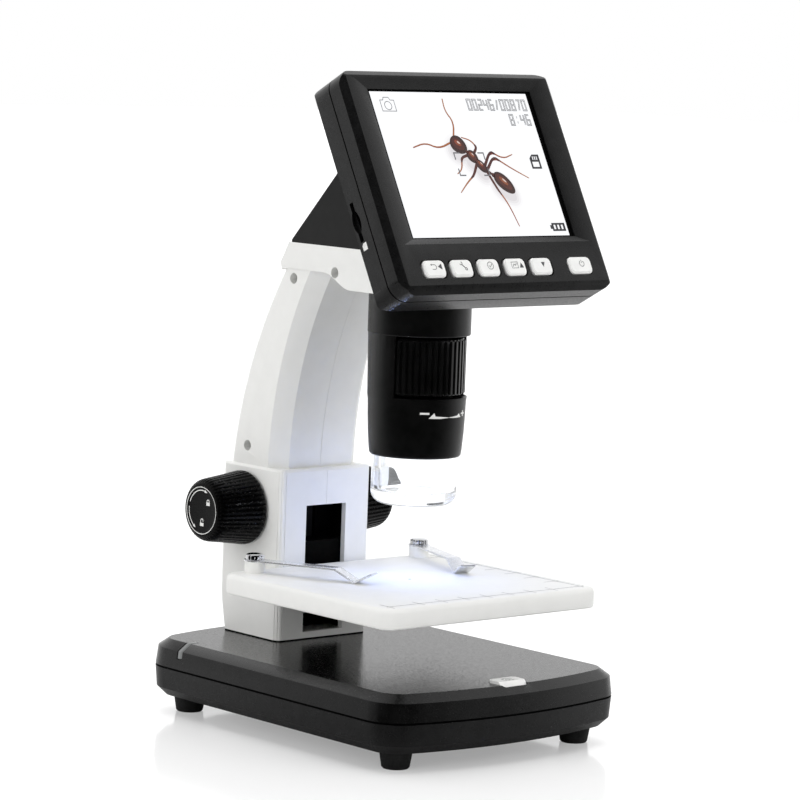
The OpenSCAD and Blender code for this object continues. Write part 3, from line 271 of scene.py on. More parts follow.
# %% Makers of glowing and clear stuff
def lit(name, colour, strength, speckle=0.02):
    """Something that glows, with a slight unevenness like a diffuser's."""
    mat, shader, vector, tree = new_material(name)
    broad = noise_node(tree, vector, 60)
    low = tuple(max(0.0, c - speckle) for c in colour)
    tree.links.new(two_tone(tree, broad, low, colour), shader.inputs["Emission Color"])
    shader.inputs["Emission Strength"].default_value = strength
    shader.inputs["Base Color"].default_value = (0.02, 0.02, 0.02, 1)
    shader.inputs["Roughness"].default_value = 0.3
    return mat


def see_through(name, tint, rough, ior, glow=0.0):
    """Clear moulded plastic or glass. A little glow stands for lamp light that scatters inside it."""
    mat, shader, vector, tree = new_material(name)
    fine = noise_node(tree, vector, 300)
    shader.inputs["Base Color"].default_value = (*tint, 1)
    tree.links.new(spread(tree, fine, rough, rough + 0.02), shader.inputs["Roughness"])
    shader.inputs["IOR"].default_value = ior
    shader.inputs["Transmission Weight"].default_value = 1.0
    shader.inputs["Emission Color"].default_value = (0.95, 0.97, 1.0, 1)
    shader.inputs["Emission Strength"].default_value = glow
    return mat


# %% [markdown]
# ## The stock of materials
#
# Moulded plastic in black and white, rubber, metals, boards and inks, each made once and shared.
# Two close shades and a band of roughness are enough at this scale.

# %% The stock of materials
def grey(level):
    """A colour without a hue."""
    return level, level, level


BLACK = grained("black satin plastic", (0.0035, 0.0035, 0.0036), (0.0060, 0.0060, 0.0062), (0.26, 0.36),
                1500, 0.30, 0.03)
BLACK_TOP = grained("black plate plastic", grey(0.003), grey(0.005), (0.13, 0.29), 1150, 0.42, 0.04)
BLACK_HEAD = grained("black head plastic", grey(0.002), grey(0.004), (0.28, 0.38), 1500, 0.25, 0.03,
                     gloss=0.33)
BLACK_GRIP = grained("black grip plastic", grey(0.0007), grey(0.0014), (0.24, 0.30), 1100, 0.04, 0.01,
                     gloss=0.15)
BLACK_RING = grained("black ring plastic", grey(0.003), (0.005, 0.005, 0.0052), (0.13, 0.19), 1100, 0.03,
                     0.01, gloss=0.9)
# Inner black is darker and duller than the outer black, so that it reads as shade. It colours the hidden
# parts, and it is the painted shade in the seams and at the column's foot.
INNER_AND_SHADE = grained("inner black plastic and painted shade", grey(0.0006), grey(0.0012), (0.6, 0.8), 700, 0.1, 0.02, gloss=0.08)
WHITE = grained("white matte plastic", (0.845, 0.845, 0.825), (0.862, 0.862, 0.842), (0.42, 0.55), 1200,
                0.12, 0.015)
KEY_WHITE = grained("white key plastic", (0.86, 0.86, 0.845), (0.90, 0.90, 0.885), (0.34, 0.45), 1500,
                    0.10, 0.01)
DISC_BLACK = grained("black disc print", grey(0.0015), grey(0.003), (0.24, 0.32), 500, 0.03, 0.01, gloss=0.14)
RUBBER = grained("black rubber", grey(0.006), grey(0.012), (0.55, 0.75), 1300, 0.3, 0.04)
SATIN = grained("satin clip steel", (0.80, 0.81, 0.83), (0.88, 0.89, 0.91), (0.20, 0.28), 900, 0.04, 0.01,
                metal=0.75)
CHROME = grained("polished chrome", (0.78, 0.79, 0.81), (0.86, 0.87, 0.89), (0.06, 0.14), 500, 0.03, 0.01,
                 metal=1.0)
STEEL = grained("machined steel", (0.48, 0.49, 0.50), (0.60, 0.61, 0.62), (0.22, 0.36), 900, 0.1, 0.02,
                metal=1.0)
BLACK_STEEL = grained("blackened steel", grey(0.003), grey(0.006), (0.45, 0.6), 900, 0.1, 0.02, gloss=0.12)
BRASS = grained("turned brass", (0.62, 0.45, 0.18), (0.74, 0.56, 0.26), (0.2, 0.34), 900, 0.1, 0.02,
                metal=1.0)
BOARD = grained("green circuit board", (0.01, 0.10, 0.04), (0.02, 0.15, 0.06), (0.3, 0.5), 400, 0.1, 0.02)
WRAP = grained("battery wrap", (0.20, 0.30, 0.42), (0.26, 0.36, 0.48), (0.2, 0.35), 300, 0.1, 0.03)
PAD = grained("white nylon", (0.70, 0.70, 0.66), (0.78, 0.78, 0.74), (0.4, 0.55), 600, 0.1, 0.02)
PRINT_GREY = grained("grey print", (0.05, 0.05, 0.062), (0.08, 0.08, 0.092), (0.5, 0.6), 900, 0.05, 0.005)
PRINT_WHITE = grained("white print", (0.78, 0.78, 0.76), (0.86, 0.86, 0.84), (0.45, 0.55), 900, 0.05, 0.005)
PRINT_DARK = grained("dark print", (0.05, 0.05, 0.055), (0.09, 0.09, 0.095), (0.45, 0.55), 900, 0.05, 0.005)
CLEAR = see_through("clear hood plastic", (0.98, 0.99, 1.0), 0.01, 1.40, glow=0.05)
GLASS = see_through("lens glass", (0.9, 0.95, 1.0), 0.0, 1.52)
PANEL = lit("lit screen panel", (0.97, 0.98, 1.0), 1.0)
LED_GLOW = lit("lit emitter", (0.85, 0.92, 1.0), 6.0)
PIPE = lit("light guide", (0.62, 0.64, 0.64), 0.30)
print("materials:", len(bpy.data.materials))

# %% [markdown]
# ## Pieces that keep their CAD shape
#
# Boards, screws, shafts and the like sit inside or show only as small details, so the CAD solids
# stay and just get a material each.

# %% Plain CAD nodes
PLAIN = {
    RUBBER: ["base_feet"],
    STEEL: ["base_screws", "column_screws", "arm_screws", "stage_screws", "display_screws", "pinion",
            "focus_shaft", "lock_screw", "card_socket"],
    BLACK_STEEL: ["rack"],
    BRASS: ["shaft_bush"],
    BOARD: ["snap_switch", "charge_board", "sensor_board", "display_board", "key_board"],
    WRAP: ["battery"],
    INNER_AND_SHADE: ["power_socket", "guide_rail", "lens_carrier"],
    PAD: ["brake_pad", "led_board"],
    GLASS: ["lens_glass"],
    LED_GLOW: ["leds"],
}
for mat, names in PLAIN.items():
    for name in names:
        mesh = NODES[name].data
        mesh.materials.clear()
        mesh.materials.append(mat)
print("plain nodes:", sum(len(v) for v in PLAIN.values()))

# %% [markdown]
# ## The moulded shells
#
# Shells are CAD copies with their edges rolled over. A small radius on the white column and a
# smaller one on the crisp black display keep the character of each moulding.

# %% Shells
def cut_at(bm, place, normal):
    """Splits the faces along a plane, place in millimetres, and returns the vertices that lie in it."""
    place, normal = Vector(place) * MM, Vector(normal)
    bmesh.ops.bisect_plane(bm, geom=bm.verts[:] + bm.edges[:] + bm.faces[:], dist=1e-7, plane_co=place,
                           plane_no=normal)
    return [v for v in bm.verts if abs((v.co - place).dot(normal)) < 2e-6]


def groove(bm, place, along, inward, width=0.8, depth=0.55):
    """Presses a V groove into the flat side that faces against the inward direction."""
    inward, along = Vector(inward), Vector(along)
    for shift in (-width / 2, width / 2, 0):
        line = cut_at(bm, Vector(place) + along * shift, along)
    for v in line:
        if any(f.normal.dot(inward) < -0.9 for f in v.link_faces):
            v.co += inward * depth * MM


# The strip of the column under this height is painted with the inner black as shade.
FOOT_SHADE_Z = 26.3            # top of the dark strip at the column's foot
SEAM_Z = (16.35, 17.05)  # the groove between the two base shells
LIP = 0.12               # how far each side of that groove is moved away from its middle
POST_X, POST_Y = 2.0, 1.9
PIPE_SHARE = 0.58


def paint_foot_shade(bm):
    """The lowest strip of the column is painted with the inner black, as shade where it sits in its seat."""
    cut_at(bm, (0, 0, FOOT_SHADE_Z), (0, 0, 1))
    for face in bm.faces:
        face.material_index = int(face.calc_center_median().z < FOOT_SHADE_Z * MM)


def widen_and_shade_base_seam(bm):
    """Widens the groove between the two base shells by a lip on each side and paints it with the inner black
    as shade.
    """
    middle = sum(SEAM_Z) / 2
    lips = [v for v in bm.verts if SEAM_Z[0] < v.co.z / MM < SEAM_Z[1] and abs(v.co.z / MM - middle) > LIP]
    for face in bm.faces:
        z = face.calc_center_median().z / MM
        face.material_index = int(SEAM_Z[0] < z < SEAM_Z[1])
    for vert in lips:
        vert.co.z += math.copysign(LIP, vert.co.z / MM - middle) * MM


def column_left(bm):
    """A narrow corner post, marked off by a groove on either side of the front left edge, with painted shade
    at its foot.
    """
    bm.normal_update()
    groove(bm, (COLUMN_X + POST_X, 0, 0), (1, 0, 0), (0, 1, 0))
    bm.normal_update()
    groove(bm, (0, COLUMN_Y + POST_Y, 0), (0, 1, 0), (1, 0, 0))
    paint_foot_shade(bm)


def slim_pipe(bm):
    """The light guide is narrower than its slot, which leaves a dark line on either side."""
    middle = sum(v.co.y for v in bm.verts) / len(bm.verts)
    for vert in bm.verts:
        vert.co.y = middle + (vert.co.y - middle) * PIPE_SHARE


# %% Finish the shells
low = np.array([v.co[:] for v in NODES["column_left_shell"].data.vertices]).min(axis=0) / MM
COLUMN_X, COLUMN_Y = low[0], low[1]
print("column corner:", COLUMN_X, COLUMN_Y)

for half, mat in (("upper", BLACK_TOP), ("lower", BLACK)):
    soften(f"base_{half}_shell", [mat, INNER_AND_SHADE], width=0.45, segments=3, weld=0.03,
           change=widen_and_shade_base_seam)
soften("column_left_shell", [WHITE, INNER_AND_SHADE], width=0.35, segments=3, change=column_left)
soften("column_right_shell", [WHITE, INNER_AND_SHADE], width=0.35, segments=3, change=paint_foot_shade)
soften("arm_left_shell", [WHITE], width=0.35, segments=3)
soften("arm_right_shell", [WHITE], width=0.35, segments=3)
soften("head_cover", [BLACK_HEAD], width=0.3)
soften("stage_plate", [WHITE], body="stage", width=0.2, weld=0.03)
soften("stage_carriage", [INNER_AND_SHADE], body="stage", width=0.3)
soften("light_pipe", [PIPE], width=0.1, change=slim_pipe)
soften("snap_button", [KEY_WHITE], body="snap_key", width=0.25)
for side, body in (("left", "left_clip"), ("right", "right_clip")):
    soften("clip_" + side, [SATIN], body=body, width=0.12)
soften("barrel_shell", [BLACK_HEAD], width=0.2)
soften("lcd_panel", [PANEL], width=0.1)

# %% [markdown]
# ## Turned pieces, ribs and glass
#
# Both knobs, the focus ring, the clip heads and the clear hood are swept profiles. A rib is only a
# wave added to the radius: a cosine cut off at a level has broad flat crowns and narrow grooves.
# The wave fades to nothing near both ends, so each rib runs out into the rim.

# %% Profiles with ribs
SHAFT_Y, SHAFT_Z = 52.0, 71.0
OPTIC_Y = -13.4
CLIP_X, CLIP_Y = 37.4, 24.8
KNOB_RIBS, RING_RIBS, HEAD_LOBES = 46, 46, 10


def finer(profile, step=0.5):
    """Adds points along a profile so that none is further than the step from the next."""
    profile = np.asarray(profile, float)
    out = [profile[:1]]
    for a, b in zip(profile[:-1], profile[1:]):
        n = max(1, int(math.ceil(np.linalg.norm(b - a) / step)))
        out.append(a + (b - a) * (np.arange(1, n + 1)[:, None] / n))
    return np.concatenate(out)


def ribs(profile, count, depth, low, high, run=0.8, crown=0.5):
    """Minus the depth in each groove, 0 on each flat crown, faded out near the heights low and high.

    The groove is a cosine wave cut off at the crown:
    depth * clip((1 - cos(count a)) / 2 - crown) / (1 - crown).
    """
    height = np.asarray(profile)[:, 1]
    fade = np.clip((height - low) / run, 0, 1) * np.clip((high - height) / run, 0, 1)
    fade = (fade * (3 - 2 * fade) * fade)[None, :]
    return lambda a, k: -depth * np.clip((0.5 - 0.5 * np.cos(count * a) - crown) / (1 - crown), 0, 1) * fade


def on_shaft(points, side):
    """Turns a profile's own axis to the knob shaft; side is 1 on the right and -1 on the left."""
    return np.stack([side * points[:, 2], SHAFT_Y + side * points[:, 0], SHAFT_Z + points[:, 1]], axis=1)


def on_optic(points):
    """Moves a turned shape to the optical axis."""
    return points + [0, OPTIC_Y, 0]


# %% Knobs and their discs
KNOB = finer([(0, 21.0), (11.9, 21.0), (12.55, 21.2), (12.95, 21.8), (13.0, 22.6), (12.85, 23.7),
              (12.45, 26.5), (11.9, 30.5), (11.4, 34.5), (11.05, 37.2), (10.75, 38.3), (10.3, 39.1),
              (9.7, 39.65), (9.3, 39.85), (8.95, 39.95), (8.65, 39.95), (8.56, 39.85), (8.56, 39.05),
              (0, 39.05)], 0.9)
knob_shape = turned(KNOB, KNOB_RIBS * 10, ribs(KNOB, KNOB_RIBS, 0.62, 21.7, 39.5, run=0.7, crown=0.42))
CAP = finer([(0, 39.1), (8.45, 39.1), (8.5, 39.2), (8.5, 39.95), (8.42, 40.1), (8.25, 40.14), (8.05, 40.08),
             (7.6, 39.94), (5.0, 39.86), (2.5, 39.8), (0, 39.78)], 1.0)
cap_shape = turned(CAP, 96)


def turned_piece(name, shape, place, body, mats, nodes, angle=40):
    """Adds a turned shape after putting it in its place."""
    points = place(shape[0])
    add_piece(name, points, drop_slivers(points, shape[1]), body, mats, nodes, angle)


for side, knob, body in ((1, "focus_knob", "focus_drive"), (-1, "lock_knob", "stage_lock")):
    turned_piece(knob + "_grip", knob_shape, lambda p, side=side: on_shaft(p, side), body,
                 [BLACK_GRIP], [knob])
    turned_piece(knob + "_disc", cap_shape, lambda p, side=side: on_shaft(p, side), body,
                 [DISC_BLACK], [knob + "_cap"])

# %% [markdown]
# ## Focus ring, clip heads and hood
#
# The ring has deep ribs for the fingers, the clip heads a shallow wave. The hood is a clear cup: its
# profile runs up the outside, over the rim and down the inside, which gives it a real wall.

# %% Focus ring, clip heads and hood
RING = finer([(12.45, 117.5), (15.1, 117.5), (15.3, 117.7), (15.3, 118.0), (16.2, 118.05), (16.24, 118.4),
              (16.24, 135.7), (16.2, 136.05), (15.3, 136.1), (15.3, 136.4), (15.1, 136.6), (12.45, 136.6),
              (12.45, 117.5)], 1.6)
ring_shape = turned(RING, RING_RIBS * 10, ribs(RING, RING_RIBS, 1.0, 117.9, 136.2, run=0.35))
turned_piece("focus_ring_grip", ring_shape, on_optic, "focus_collar", [BLACK_RING],
             ["focus_ring"])

HEAD = finer([(0, 51.0), (1.2, 51.0), (1.25, 51.1), (1.25, 57.4), (2.95, 57.4), (3.2, 57.55), (3.25, 57.8),
              (3.22, 58.9), (3.05, 59.2), (2.7, 59.4), (2.2, 59.55), (1.2, 59.68), (0, 59.72)], 0.3)
head_shape = turned(HEAD, HEAD_LOBES * 14, ribs(HEAD, HEAD_LOBES, 0.16, 57.5, 59.3, run=0.3, crown=0.55))
for side, x in (("left", -CLIP_X), ("right", CLIP_X)):
    turned_piece(f"clip_head_{side}_knurled", head_shape, lambda p, x=x: p + [x, CLIP_Y, 0], side + "_clip",
                 [CHROME], ["clip_head_" + side])

HOOD = np.concatenate([finer([(0, 79.5), (10.45, 79.5)], 2), arc((10.45, 83.7), 4.2, -90, 0, 12),
                       finer([(14.65, 84.5), (14.65, 102.9)], 3),
                       finer([(14.55, 103.0), (12.0, 103.0), (11.9, 102.9), (11.9, 84.6), (11.7, 84.1),
                              (11.2, 83.9), (0, 83.9)], 2)])
turned_piece("clear_hood", turned(HOOD), on_optic, "stand", [CLEAR], ["clear_cap"], angle=50)

# %% [markdown]
# ## Prints
#
# A print is a flat figure drawn with strokes and patches. `printed` sends its plane coordinates
# through a mapping onto the surface that carries it, a few hundredths of a millimetre proud.

# %% Printing
PROUD = 0.03


def printed(name, parts, place, body, mat, fine=None):
    """Joins flat parts, splits long faces if asked, and lays them on a surface by the place mapping."""
    points, faces = join(parts)
    mesh = bpy.data.meshes.new(name)
    mesh.from_pydata(points.tolist(), [], [list(map(int, f)) for f in faces])
    bm = bmesh.new()
    bm.from_mesh(mesh)
    bmesh.ops.triangulate(bm, faces=[f for f in bm.faces if len(f.verts) > 4])
    if fine:
        for _ in range(3):
            long = [e for e in bm.edges if e.calc_length() > fine]
            if long:
                bmesh.ops.subdivide_edges(bm, edges=long, cuts=1, use_grid_fill=True)
        bmesh.ops.triangulate(bm, faces=bm.faces[:])
    bm.verts.ensure_lookup_table()
    flat = np.array([v.co[:] for v in bm.verts])
    index = [[v.index for v in f.verts] for f in bm.faces]
    bm.free()
    bpy.data.meshes.remove(mesh)
    placed = np.asarray(place(flat[:, 0], flat[:, 1], PROUD + flat[:, 2]), float)
    mesh = bpy.data.meshes.new(name)
    mesh.from_pydata((placed * MM).tolist(), [], index)
    # A mapping may mirror the drawing. Three near points tell whether it does, and faces then flip outward.
    near_x, near_y = flat[0, 0] + np.array([0.0, 0.001, 0.0]), flat[0, 1] + np.array([0.0, 0.0, 0.001])
    probe = np.asarray(place(near_x, near_y, np.zeros(3)), float)
    out = np.asarray(place(flat[:1, 0], flat[:1, 1], np.ones(1)), float)[0] - probe[0]
    want = np.sign(np.dot(np.cross(probe[1] - probe[0], probe[2] - probe[0]), out))
    bm = bmesh.new()
    bm.from_mesh(mesh)
    for f in bm.faces:
        corners = [flat[v.index] for v in f.verts]
        area = sum(a[0] * b[1] - b[0] * a[1] for a, b in zip(corners, corners[1:] + corners[:1]))
        if area * want < 0:
            f.normal_flip()
    bm.to_mesh(mesh)
    bm.free()
    print(f"{name}: {len(mesh.polygons)} faces")
    finish_piece(bpy.data.objects.new(name, mesh), body, [mat])


def bar(x0, y0, x1, y1):
    """An upright rectangle in the plane."""
    return patch([(x0, y0), (x1, y0), (x1, y1), (x0, y1)])


# %% [markdown]
# ## Marks on the stage, the barrel and the knobs
#
# All of them are flat ink on the real thing, so nothing is cut. A mapping bends each drawing onto
# its surface: the flat stage, the round barrel, or the dished disc at the end of a knob.

# %% Ruler on the stage
STAGE_TOP = 53.0
LINE_Y, LINE_X = -52.3, 43.2
LONG, TICK = 0.16, 0.13  # half the width of the long lines and of the ticks


def stage_top(x, y, h):
    """The stage's flat top."""
    return np.stack([x, y, STAGE_TOP + h], axis=1)


marks = [bar(-44.2, LINE_Y - LONG, 44.6, LINE_Y + LONG),
         bar(LINE_X - LONG, LINE_Y - 1.6, LINE_X + LONG, 26.0),
         bar(-43.4, LINE_Y - 3.0, -43.08, LINE_Y + 4.6)]
marks += [bar(x - TICK, LINE_Y - 2.8, x + TICK, LINE_Y + 3.6) for x in range(-30, 31, 10)]
marks += [bar(LINE_X - 5.6, y - TICK, LINE_X + 1.4, y + TICK) for y in range(-40, 21, 10)]
printed("stage_ruler", marks, stage_top, "stage", PRINT_GREY)
printed("stage_centre_mark", [patch(arc((0.5, -12.6), 0.5, 0, 345, 12))], stage_top, "stage", PRINT_GREY)


# %% Barrel marks
def barrel_side(angle, height, h):
    """Degrees round the optical axis and height on the barrel, r = 16.55 + 0.2 (height - 109) / 6.2 + h."""
    a = np.radians(angle)
    r = 16.55 + 0.2 * (height - 109) / 6.2 + h
    return np.stack([r * np.cos(a), OPTIC_Y + r * np.sin(a), height], axis=1)


TIP = 110.3  # height of the marks' lower edge
printed("barrel_marks", [
    bar(-127.4, TIP + 1.35, -116.2, TIP + 2.0),
    patch([(-117.0, TIP), (-103.0, TIP - 0.1), (-90.6, TIP + 0.18), (-90.6, TIP + 0.34), (-108.6, TIP + 0.75),
           (-110.1, TIP + 1.9)]),
    patch([(-89.6, TIP + 0.3), (-89.6, TIP + 0.16), (-80.6, TIP), (-67.6, TIP + 0.05), (-72.2, TIP + 1.45),
           (-75.4, TIP + 0.72)]),
    bar(-63.6, TIP + 0.2, -60.9, TIP + 2.2), bar(-67.2, TIP + 0.95, -57.4, TIP + 1.5),
], barrel_side, "stand", PRINT_WHITE, fine=0.9)

# %% Rings, arrows and locks on the knob discs
CAP_FACE = np.array([(0, 39.78), (2.5, 39.8), (5.0, 39.86), (7.6, 39.94), (8.05, 40.08), (8.25, 40.14),
                     (8.5, 40.1)])


def on_disc(side):
    """The dished face of a knob's disc, seen from outside with x to the viewer's right."""
    def place(x, y, h):
        """Lays a drawing on the face; the height comes from the disc's profile at the radius."""
        r = np.hypot(x, y)
        out = np.interp(r, CAP_FACE[:, 0], CAP_FACE[:, 1]) + h
        return np.stack([side * out, SHAFT_Y + side * x, SHAFT_Z + y], axis=1)
    return place


def arrow_arc(radius, a0, a1, width, head):
    """A curved arrow from a0 to a1 degrees with a pointed head past its end."""
    way = math.copysign(1, a1 - a0)
    tip = math.radians(a1 + way * math.degrees(head / radius))
    end = math.radians(a1 - way * 2)
    outer, inner = radius + head * 0.42, radius - head * 0.42
    corners = [(outer, end), (radius, tip), (inner, end)]
    return [stroke(arc((0, 0), radius, a0, a1, 28), width),
            patch([(r * math.cos(a), r * math.sin(a)) for r, a in corners])]


def padlock(x, y, size, shut):
    """A small padlock: a solid body under a bow that is shut, or swung clear on one side."""
    w, h = size * 0.42, size * 0.5
    bow = arc((x, y + (0.1 if shut else 0.32) * size), w * 0.66, 0, 180, 12)
    near, far = (x - w * 0.66, y), (x + w * 0.66, y if shut else y + 0.2 * size)
    return [bar(x - w, y - h, x + w, y), stroke(np.array([far, *bow, near]), size * 0.14)]


for side, body in ((-1, "stage_lock"), (1, "focus_drive")):
    figure = [stroke(arc((0, 0), 8.2, 0, 360, 96), 0.26)]
    if side < 0:
        figure += arrow_arc(7.05, 160, 76, 0.3, 1.3) + arrow_arc(7.05, 174, 234, 0.3, 1.3)
        figure += padlock(3.4, 3.2, 2.3, True) + padlock(0.2, -4.3, 2.3, False)
    else:
        figure += arrow_arc(7.05, 140, 50, 0.3, 1.3) + arrow_arc(7.05, -40, -130, 0.3, 1.3)
        figure += [patch([(-1.3, 2.2), (1.3, 2.2), (0, 4.2)]), patch([(1.3, -2.2), (-1.3, -2.2), (0, -4.2)])]
    printed(f"{body}_marks", figure, on_disc(side), body, PRINT_WHITE, fine=1.2)


# %% [markdown]
# ## The tilted display
#
# The display has its own plane: u runs to the right, v up the screen and n back into the case. The
# plane leans back by 28 degrees about a level axis.

# %% Display plane
LEAN = math.radians(-28)
DISPLAY_Y, DISPLAY_Z = -36, 196  # where u, n and v are all zero
KEY_SHARE, SIGN_SCALE, SIGN_SHIFT = 0.88, 0.82, 0.5
CASE_SIDE, SNAP_TOP = -47.15, 26.8
CASE_SEAM = (5.0, 5.7)           # depths n between which the groove of the case lies
ROUNDING = 2.4                   # radius at the mitred corners of the face


def in_display(u, n, v):
    """A point of the display's own plane, in the object's coordinates."""
    u, n, v = np.broadcast_arrays(u, n, v)
    return np.stack([u, DISPLAY_Y + n * math.cos(LEAN) - v * math.sin(LEAN),
                     DISPLAY_Z + n * math.sin(LEAN) + v * math.cos(LEAN)], axis=-1)


def from_display(vert):
    """Where a mesh vertex lies in the display's plane: (u, n, v) in millimetres."""
    u, y, z = np.array(vert.co[:]) / MM - [0, DISPLAY_Y, DISPLAY_Z]
    return u, y * math.cos(LEAN) + z * math.sin(LEAN), z * math.cos(LEAN) - y * math.sin(LEAN)


def display_face(depth):
    """A mapping onto the layer of the display at a depth n."""
    return lambda x, y, h: in_display(x, depth - h, y)


def paint_case_seam_shade(bm):
    """Paints the groove between the display's two halves with the inner black, as shade."""
    for face in bm.faces:
        centre = [from_display(v)[1] for v in face.verts]
        face.material_index = int(CASE_SEAM[0] < sum(centre) / len(centre) < CASE_SEAM[1])


def bezel_front(bm):
    """Rounds the mitred corners of the face, moves the picture opening's rim, widens the case seam and paints
    it dark as shade.
    """
    corner = []
    for edge in bm.edges:
        ends = [from_display(v) for v in edge.verts]
        deep = sorted(e[1] for e in ends)
        outside = all(abs(e[0]) > 44.0 and not -43.0 < e[2] < 30.8 for e in ends)
        if outside and deep[0] < -1.95 and deep[1] > -1.9:
            corner.append(edge)
    bmesh.ops.bevel(bm, geom=corner, offset=ROUNDING * MM, offset_type="OFFSET", segments=6, profile=0.5,
                    affect="EDGES", clamp_overlap=True)
    for vert in bm.verts:
        u, n, v = from_display(vert)
        if abs(u) < 36.0 and abs(v) < 27.2 and n < 0.9:
            rim = in_display(36.8 if u > 0 else -36.0, -0.6 if n < 0.1 else n, v * 26.95 / 26.75)
            vert.co = Vector(rim * MM)
        elif 5.25 < n < 5.35:
            vert.co = Vector(in_display(u, n - 0.2, v) * MM)
    paint_case_seam_shade(bm)
    print("rounded corners of the display:", len(corner))


# %% Key signs
KEY_V = -38.3
KEYS = {"return": -32.1, "setup": -20.24, "ok": -8.38, "up": 3.48, "down": 15.34, "power": 33.1}


def key_figure(key):
    """The sign on a key, about its middle, all of them plain and common."""
    t = 0.24
    if key == "return":
        hook = np.concatenate([[(-2.4, 1.0), (-0.9, 1.0)], arc((-0.9, 0), 1.0, 90, -90, 10), [(-2.2, -1.0)]])
        return [stroke(hook, t), patch([(-2.9, 1.0), (-2.1, 0.55), (-2.1, 1.45)]),
                patch([(0.9, 0.1), (2.9, -1.2), (2.9, 1.4)])]
    if key == "setup":
        jaw = arc((-1.0, 1.25), 0.62, 190, 440, 12)
        return [stroke([(-0.7, 0.8), (1.0, -0.9)], 0.42), stroke(jaw, 0.3),
                stroke(arc((1.2, -1.15), 0.5, 0, 360, 12), 0.3)]
    if key == "ok":
        return [stroke(arc((0, 0), 1.55, 0, 360, 28), t),
                stroke([(-0.8, 0.1), (-0.15, -0.65), (0.95, 0.8)], t)]
    if key == "up":
        frame_line = np.array([(-2.9, -1.3), (0.5, -1.3), (0.5, 1.3), (-2.9, 1.3), (-2.9, -1.3)])
        return [stroke(frame_line, 0.2), stroke([(-2.3, -0.7), (-1.5, 0.5), (-0.9, -0.2), (-0.1, 0.7)], t),
                patch([(1.3, -1.2), (3.5, -1.2), (2.4, 1.1)])]
    if key == "down":
        return [patch([(-0.9, 1.0), (0.0, -1.2), (1.1, 1.0)])]
    return [stroke(arc((0, -0.1), 1.25, 120, 420, 22), 0.26), stroke([(0, 0.2), (0, 1.55)], 0.26)]


def squeeze(bm, middle, share):
    """Narrows a key about its middle, which widens the dark gap round it."""
    for vert in bm.verts:
        vert.co.x = (middle + (vert.co.x / MM - middle) * share) * MM


# %% Display case and keys
soften("display_bezel", [BLACK, INNER_AND_SHADE], width=0.25, segments=2, change=bezel_front)
soften("display_rear_shell", [BLACK, INNER_AND_SHADE], width=0.4, segments=3, change=paint_case_seam_shade)
for key, u in KEYS.items():
    soften("key_" + key, [KEY_WHITE], body=f"key_{key}_cap", width=0.3, segments=3,
           change=lambda bm, u=u, key=key: squeeze(bm, u, 1.0 if key == "power" else KEY_SHARE))
    figure = [moved(part, (u + SIGN_SHIFT, KEY_V + SIGN_SHIFT), SIGN_SCALE) for part in key_figure(key)]
    printed(f"key_{key}_sign", figure, display_face(-2.8), f"key_{key}_cap", PRINT_DARK)


# %% [markdown]
# ## Two small signs
#
# A notched card stands for the slot in the display's side, a camera outline for the base's key.

# %% Card sign on the display's side, picture sign on the base key
def display_wall(x, y, h):
    """The left wall of the display case; x counts from front to back."""
    return in_display(CASE_SIDE - h, x, y)


printed("card_sign", [patch([(9.0, -25.9), (11.2, -25.9), (11.2, -24.1), (10.5, -23.4), (9.0, -23.4)])],
        display_wall, "stand", PRINT_WHITE)


def snap_top(x, y, h):
    """The flat top of the picture key in the base."""
    return np.stack([x, y, SNAP_TOP + h], axis=1)


body_line = np.array([(-1.8, -65.2), (1.8, -65.2), (1.8, -62.8), (0.8, -62.8), (0.5, -62.2), (-0.5, -62.2),
                      (-0.8, -62.8), (-1.8, -62.8), (-1.8, -65.2)])
printed("picture_sign", [stroke(body_line, 0.2), stroke(arc((0, -64.05), 0.75, 0, 360, 20), 0.2)],
        snap_top, "snap_key", PRINT_GREY)

# %% [markdown]
# ## What the screen shows
#
# The picture is built in layers: a pale shadow, then legs and feelers as tapered strokes, then the
# body as overlapping ovals that go from dark rims to warm middles. Status signs lie on top.

# %% Picture layers
BROWN_DARK = lit("picture dark brown", (0.030, 0.007, 0.004), 1.0, 0.012)
BROWN = lit("picture brown", (0.085, 0.018, 0.009), 1.0, 0.04)
BROWN_WARM = lit("picture warm brown", (0.27, 0.085, 0.028), 1.0, 0.08)
AMBER = lit("picture amber", (0.52, 0.24, 0.10), 1.0, 0.14)
GLINT = lit("picture glint", (0.72, 0.58, 0.52), 1.0, 0.08)
SHADES = [lit(f"picture shade {k}", tone, 1.0, 0.006) for k, tone in enumerate(
    [(0.93, 0.925, 0.935), (0.87, 0.86, 0.875), (0.80, 0.785, 0.80), (0.72, 0.70, 0.72)])]
SIGN_LINE = lit("picture sign line", (0.02, 0.02, 0.025), 1.0, 0.01)
SIGN_GREY = lit("picture sign grey", (0.16, 0.16, 0.17), 1.0, 0.03)


def oval(x, y, a, b, lean, taper):
    """A filled egg, its long axis leaning by degrees: (a cos t, b sin t (1 + taper cos t))."""
    t = np.linspace(0, TAU, 40, endpoint=False)
    c, s = math.cos(math.radians(lean)), math.sin(math.radians(lean))
    p, q = a * np.cos(t), b * np.sin(t) * (1 + taper * np.cos(t))
    return patch(np.stack([x + p * c - q * s, y + p * s + q * c], axis=1))


def tapered(path, w0, w1):
    """A stroke whose width runs from w0 to w1, through points rounded by cutting corners twice."""
    path = np.asarray(path, float)
    for _ in range(2):
        inner = np.stack([0.75 * path[:-1] + 0.25 * path[1:], 0.25 * path[:-1] + 0.75 * path[1:]], axis=1)
        path = np.concatenate([[path[0]], inner.reshape(-1, 2), [path[-1]]])
    step = np.gradient(path, axis=0)
    step /= np.linalg.norm(step, axis=1, keepdims=True)
    normal = np.stack([-step[:, 1], step[:, 0]], axis=1)
    width = np.linspace(w0, w1, len(path))[:, None] / 2
    points = np.concatenate([path + normal * width, path - normal * width])
    n = len(path)
    return np.column_stack([points, np.zeros(2 * n)]), [[k, k + 1, n + k + 1, n + k] for k in range(n - 1)]


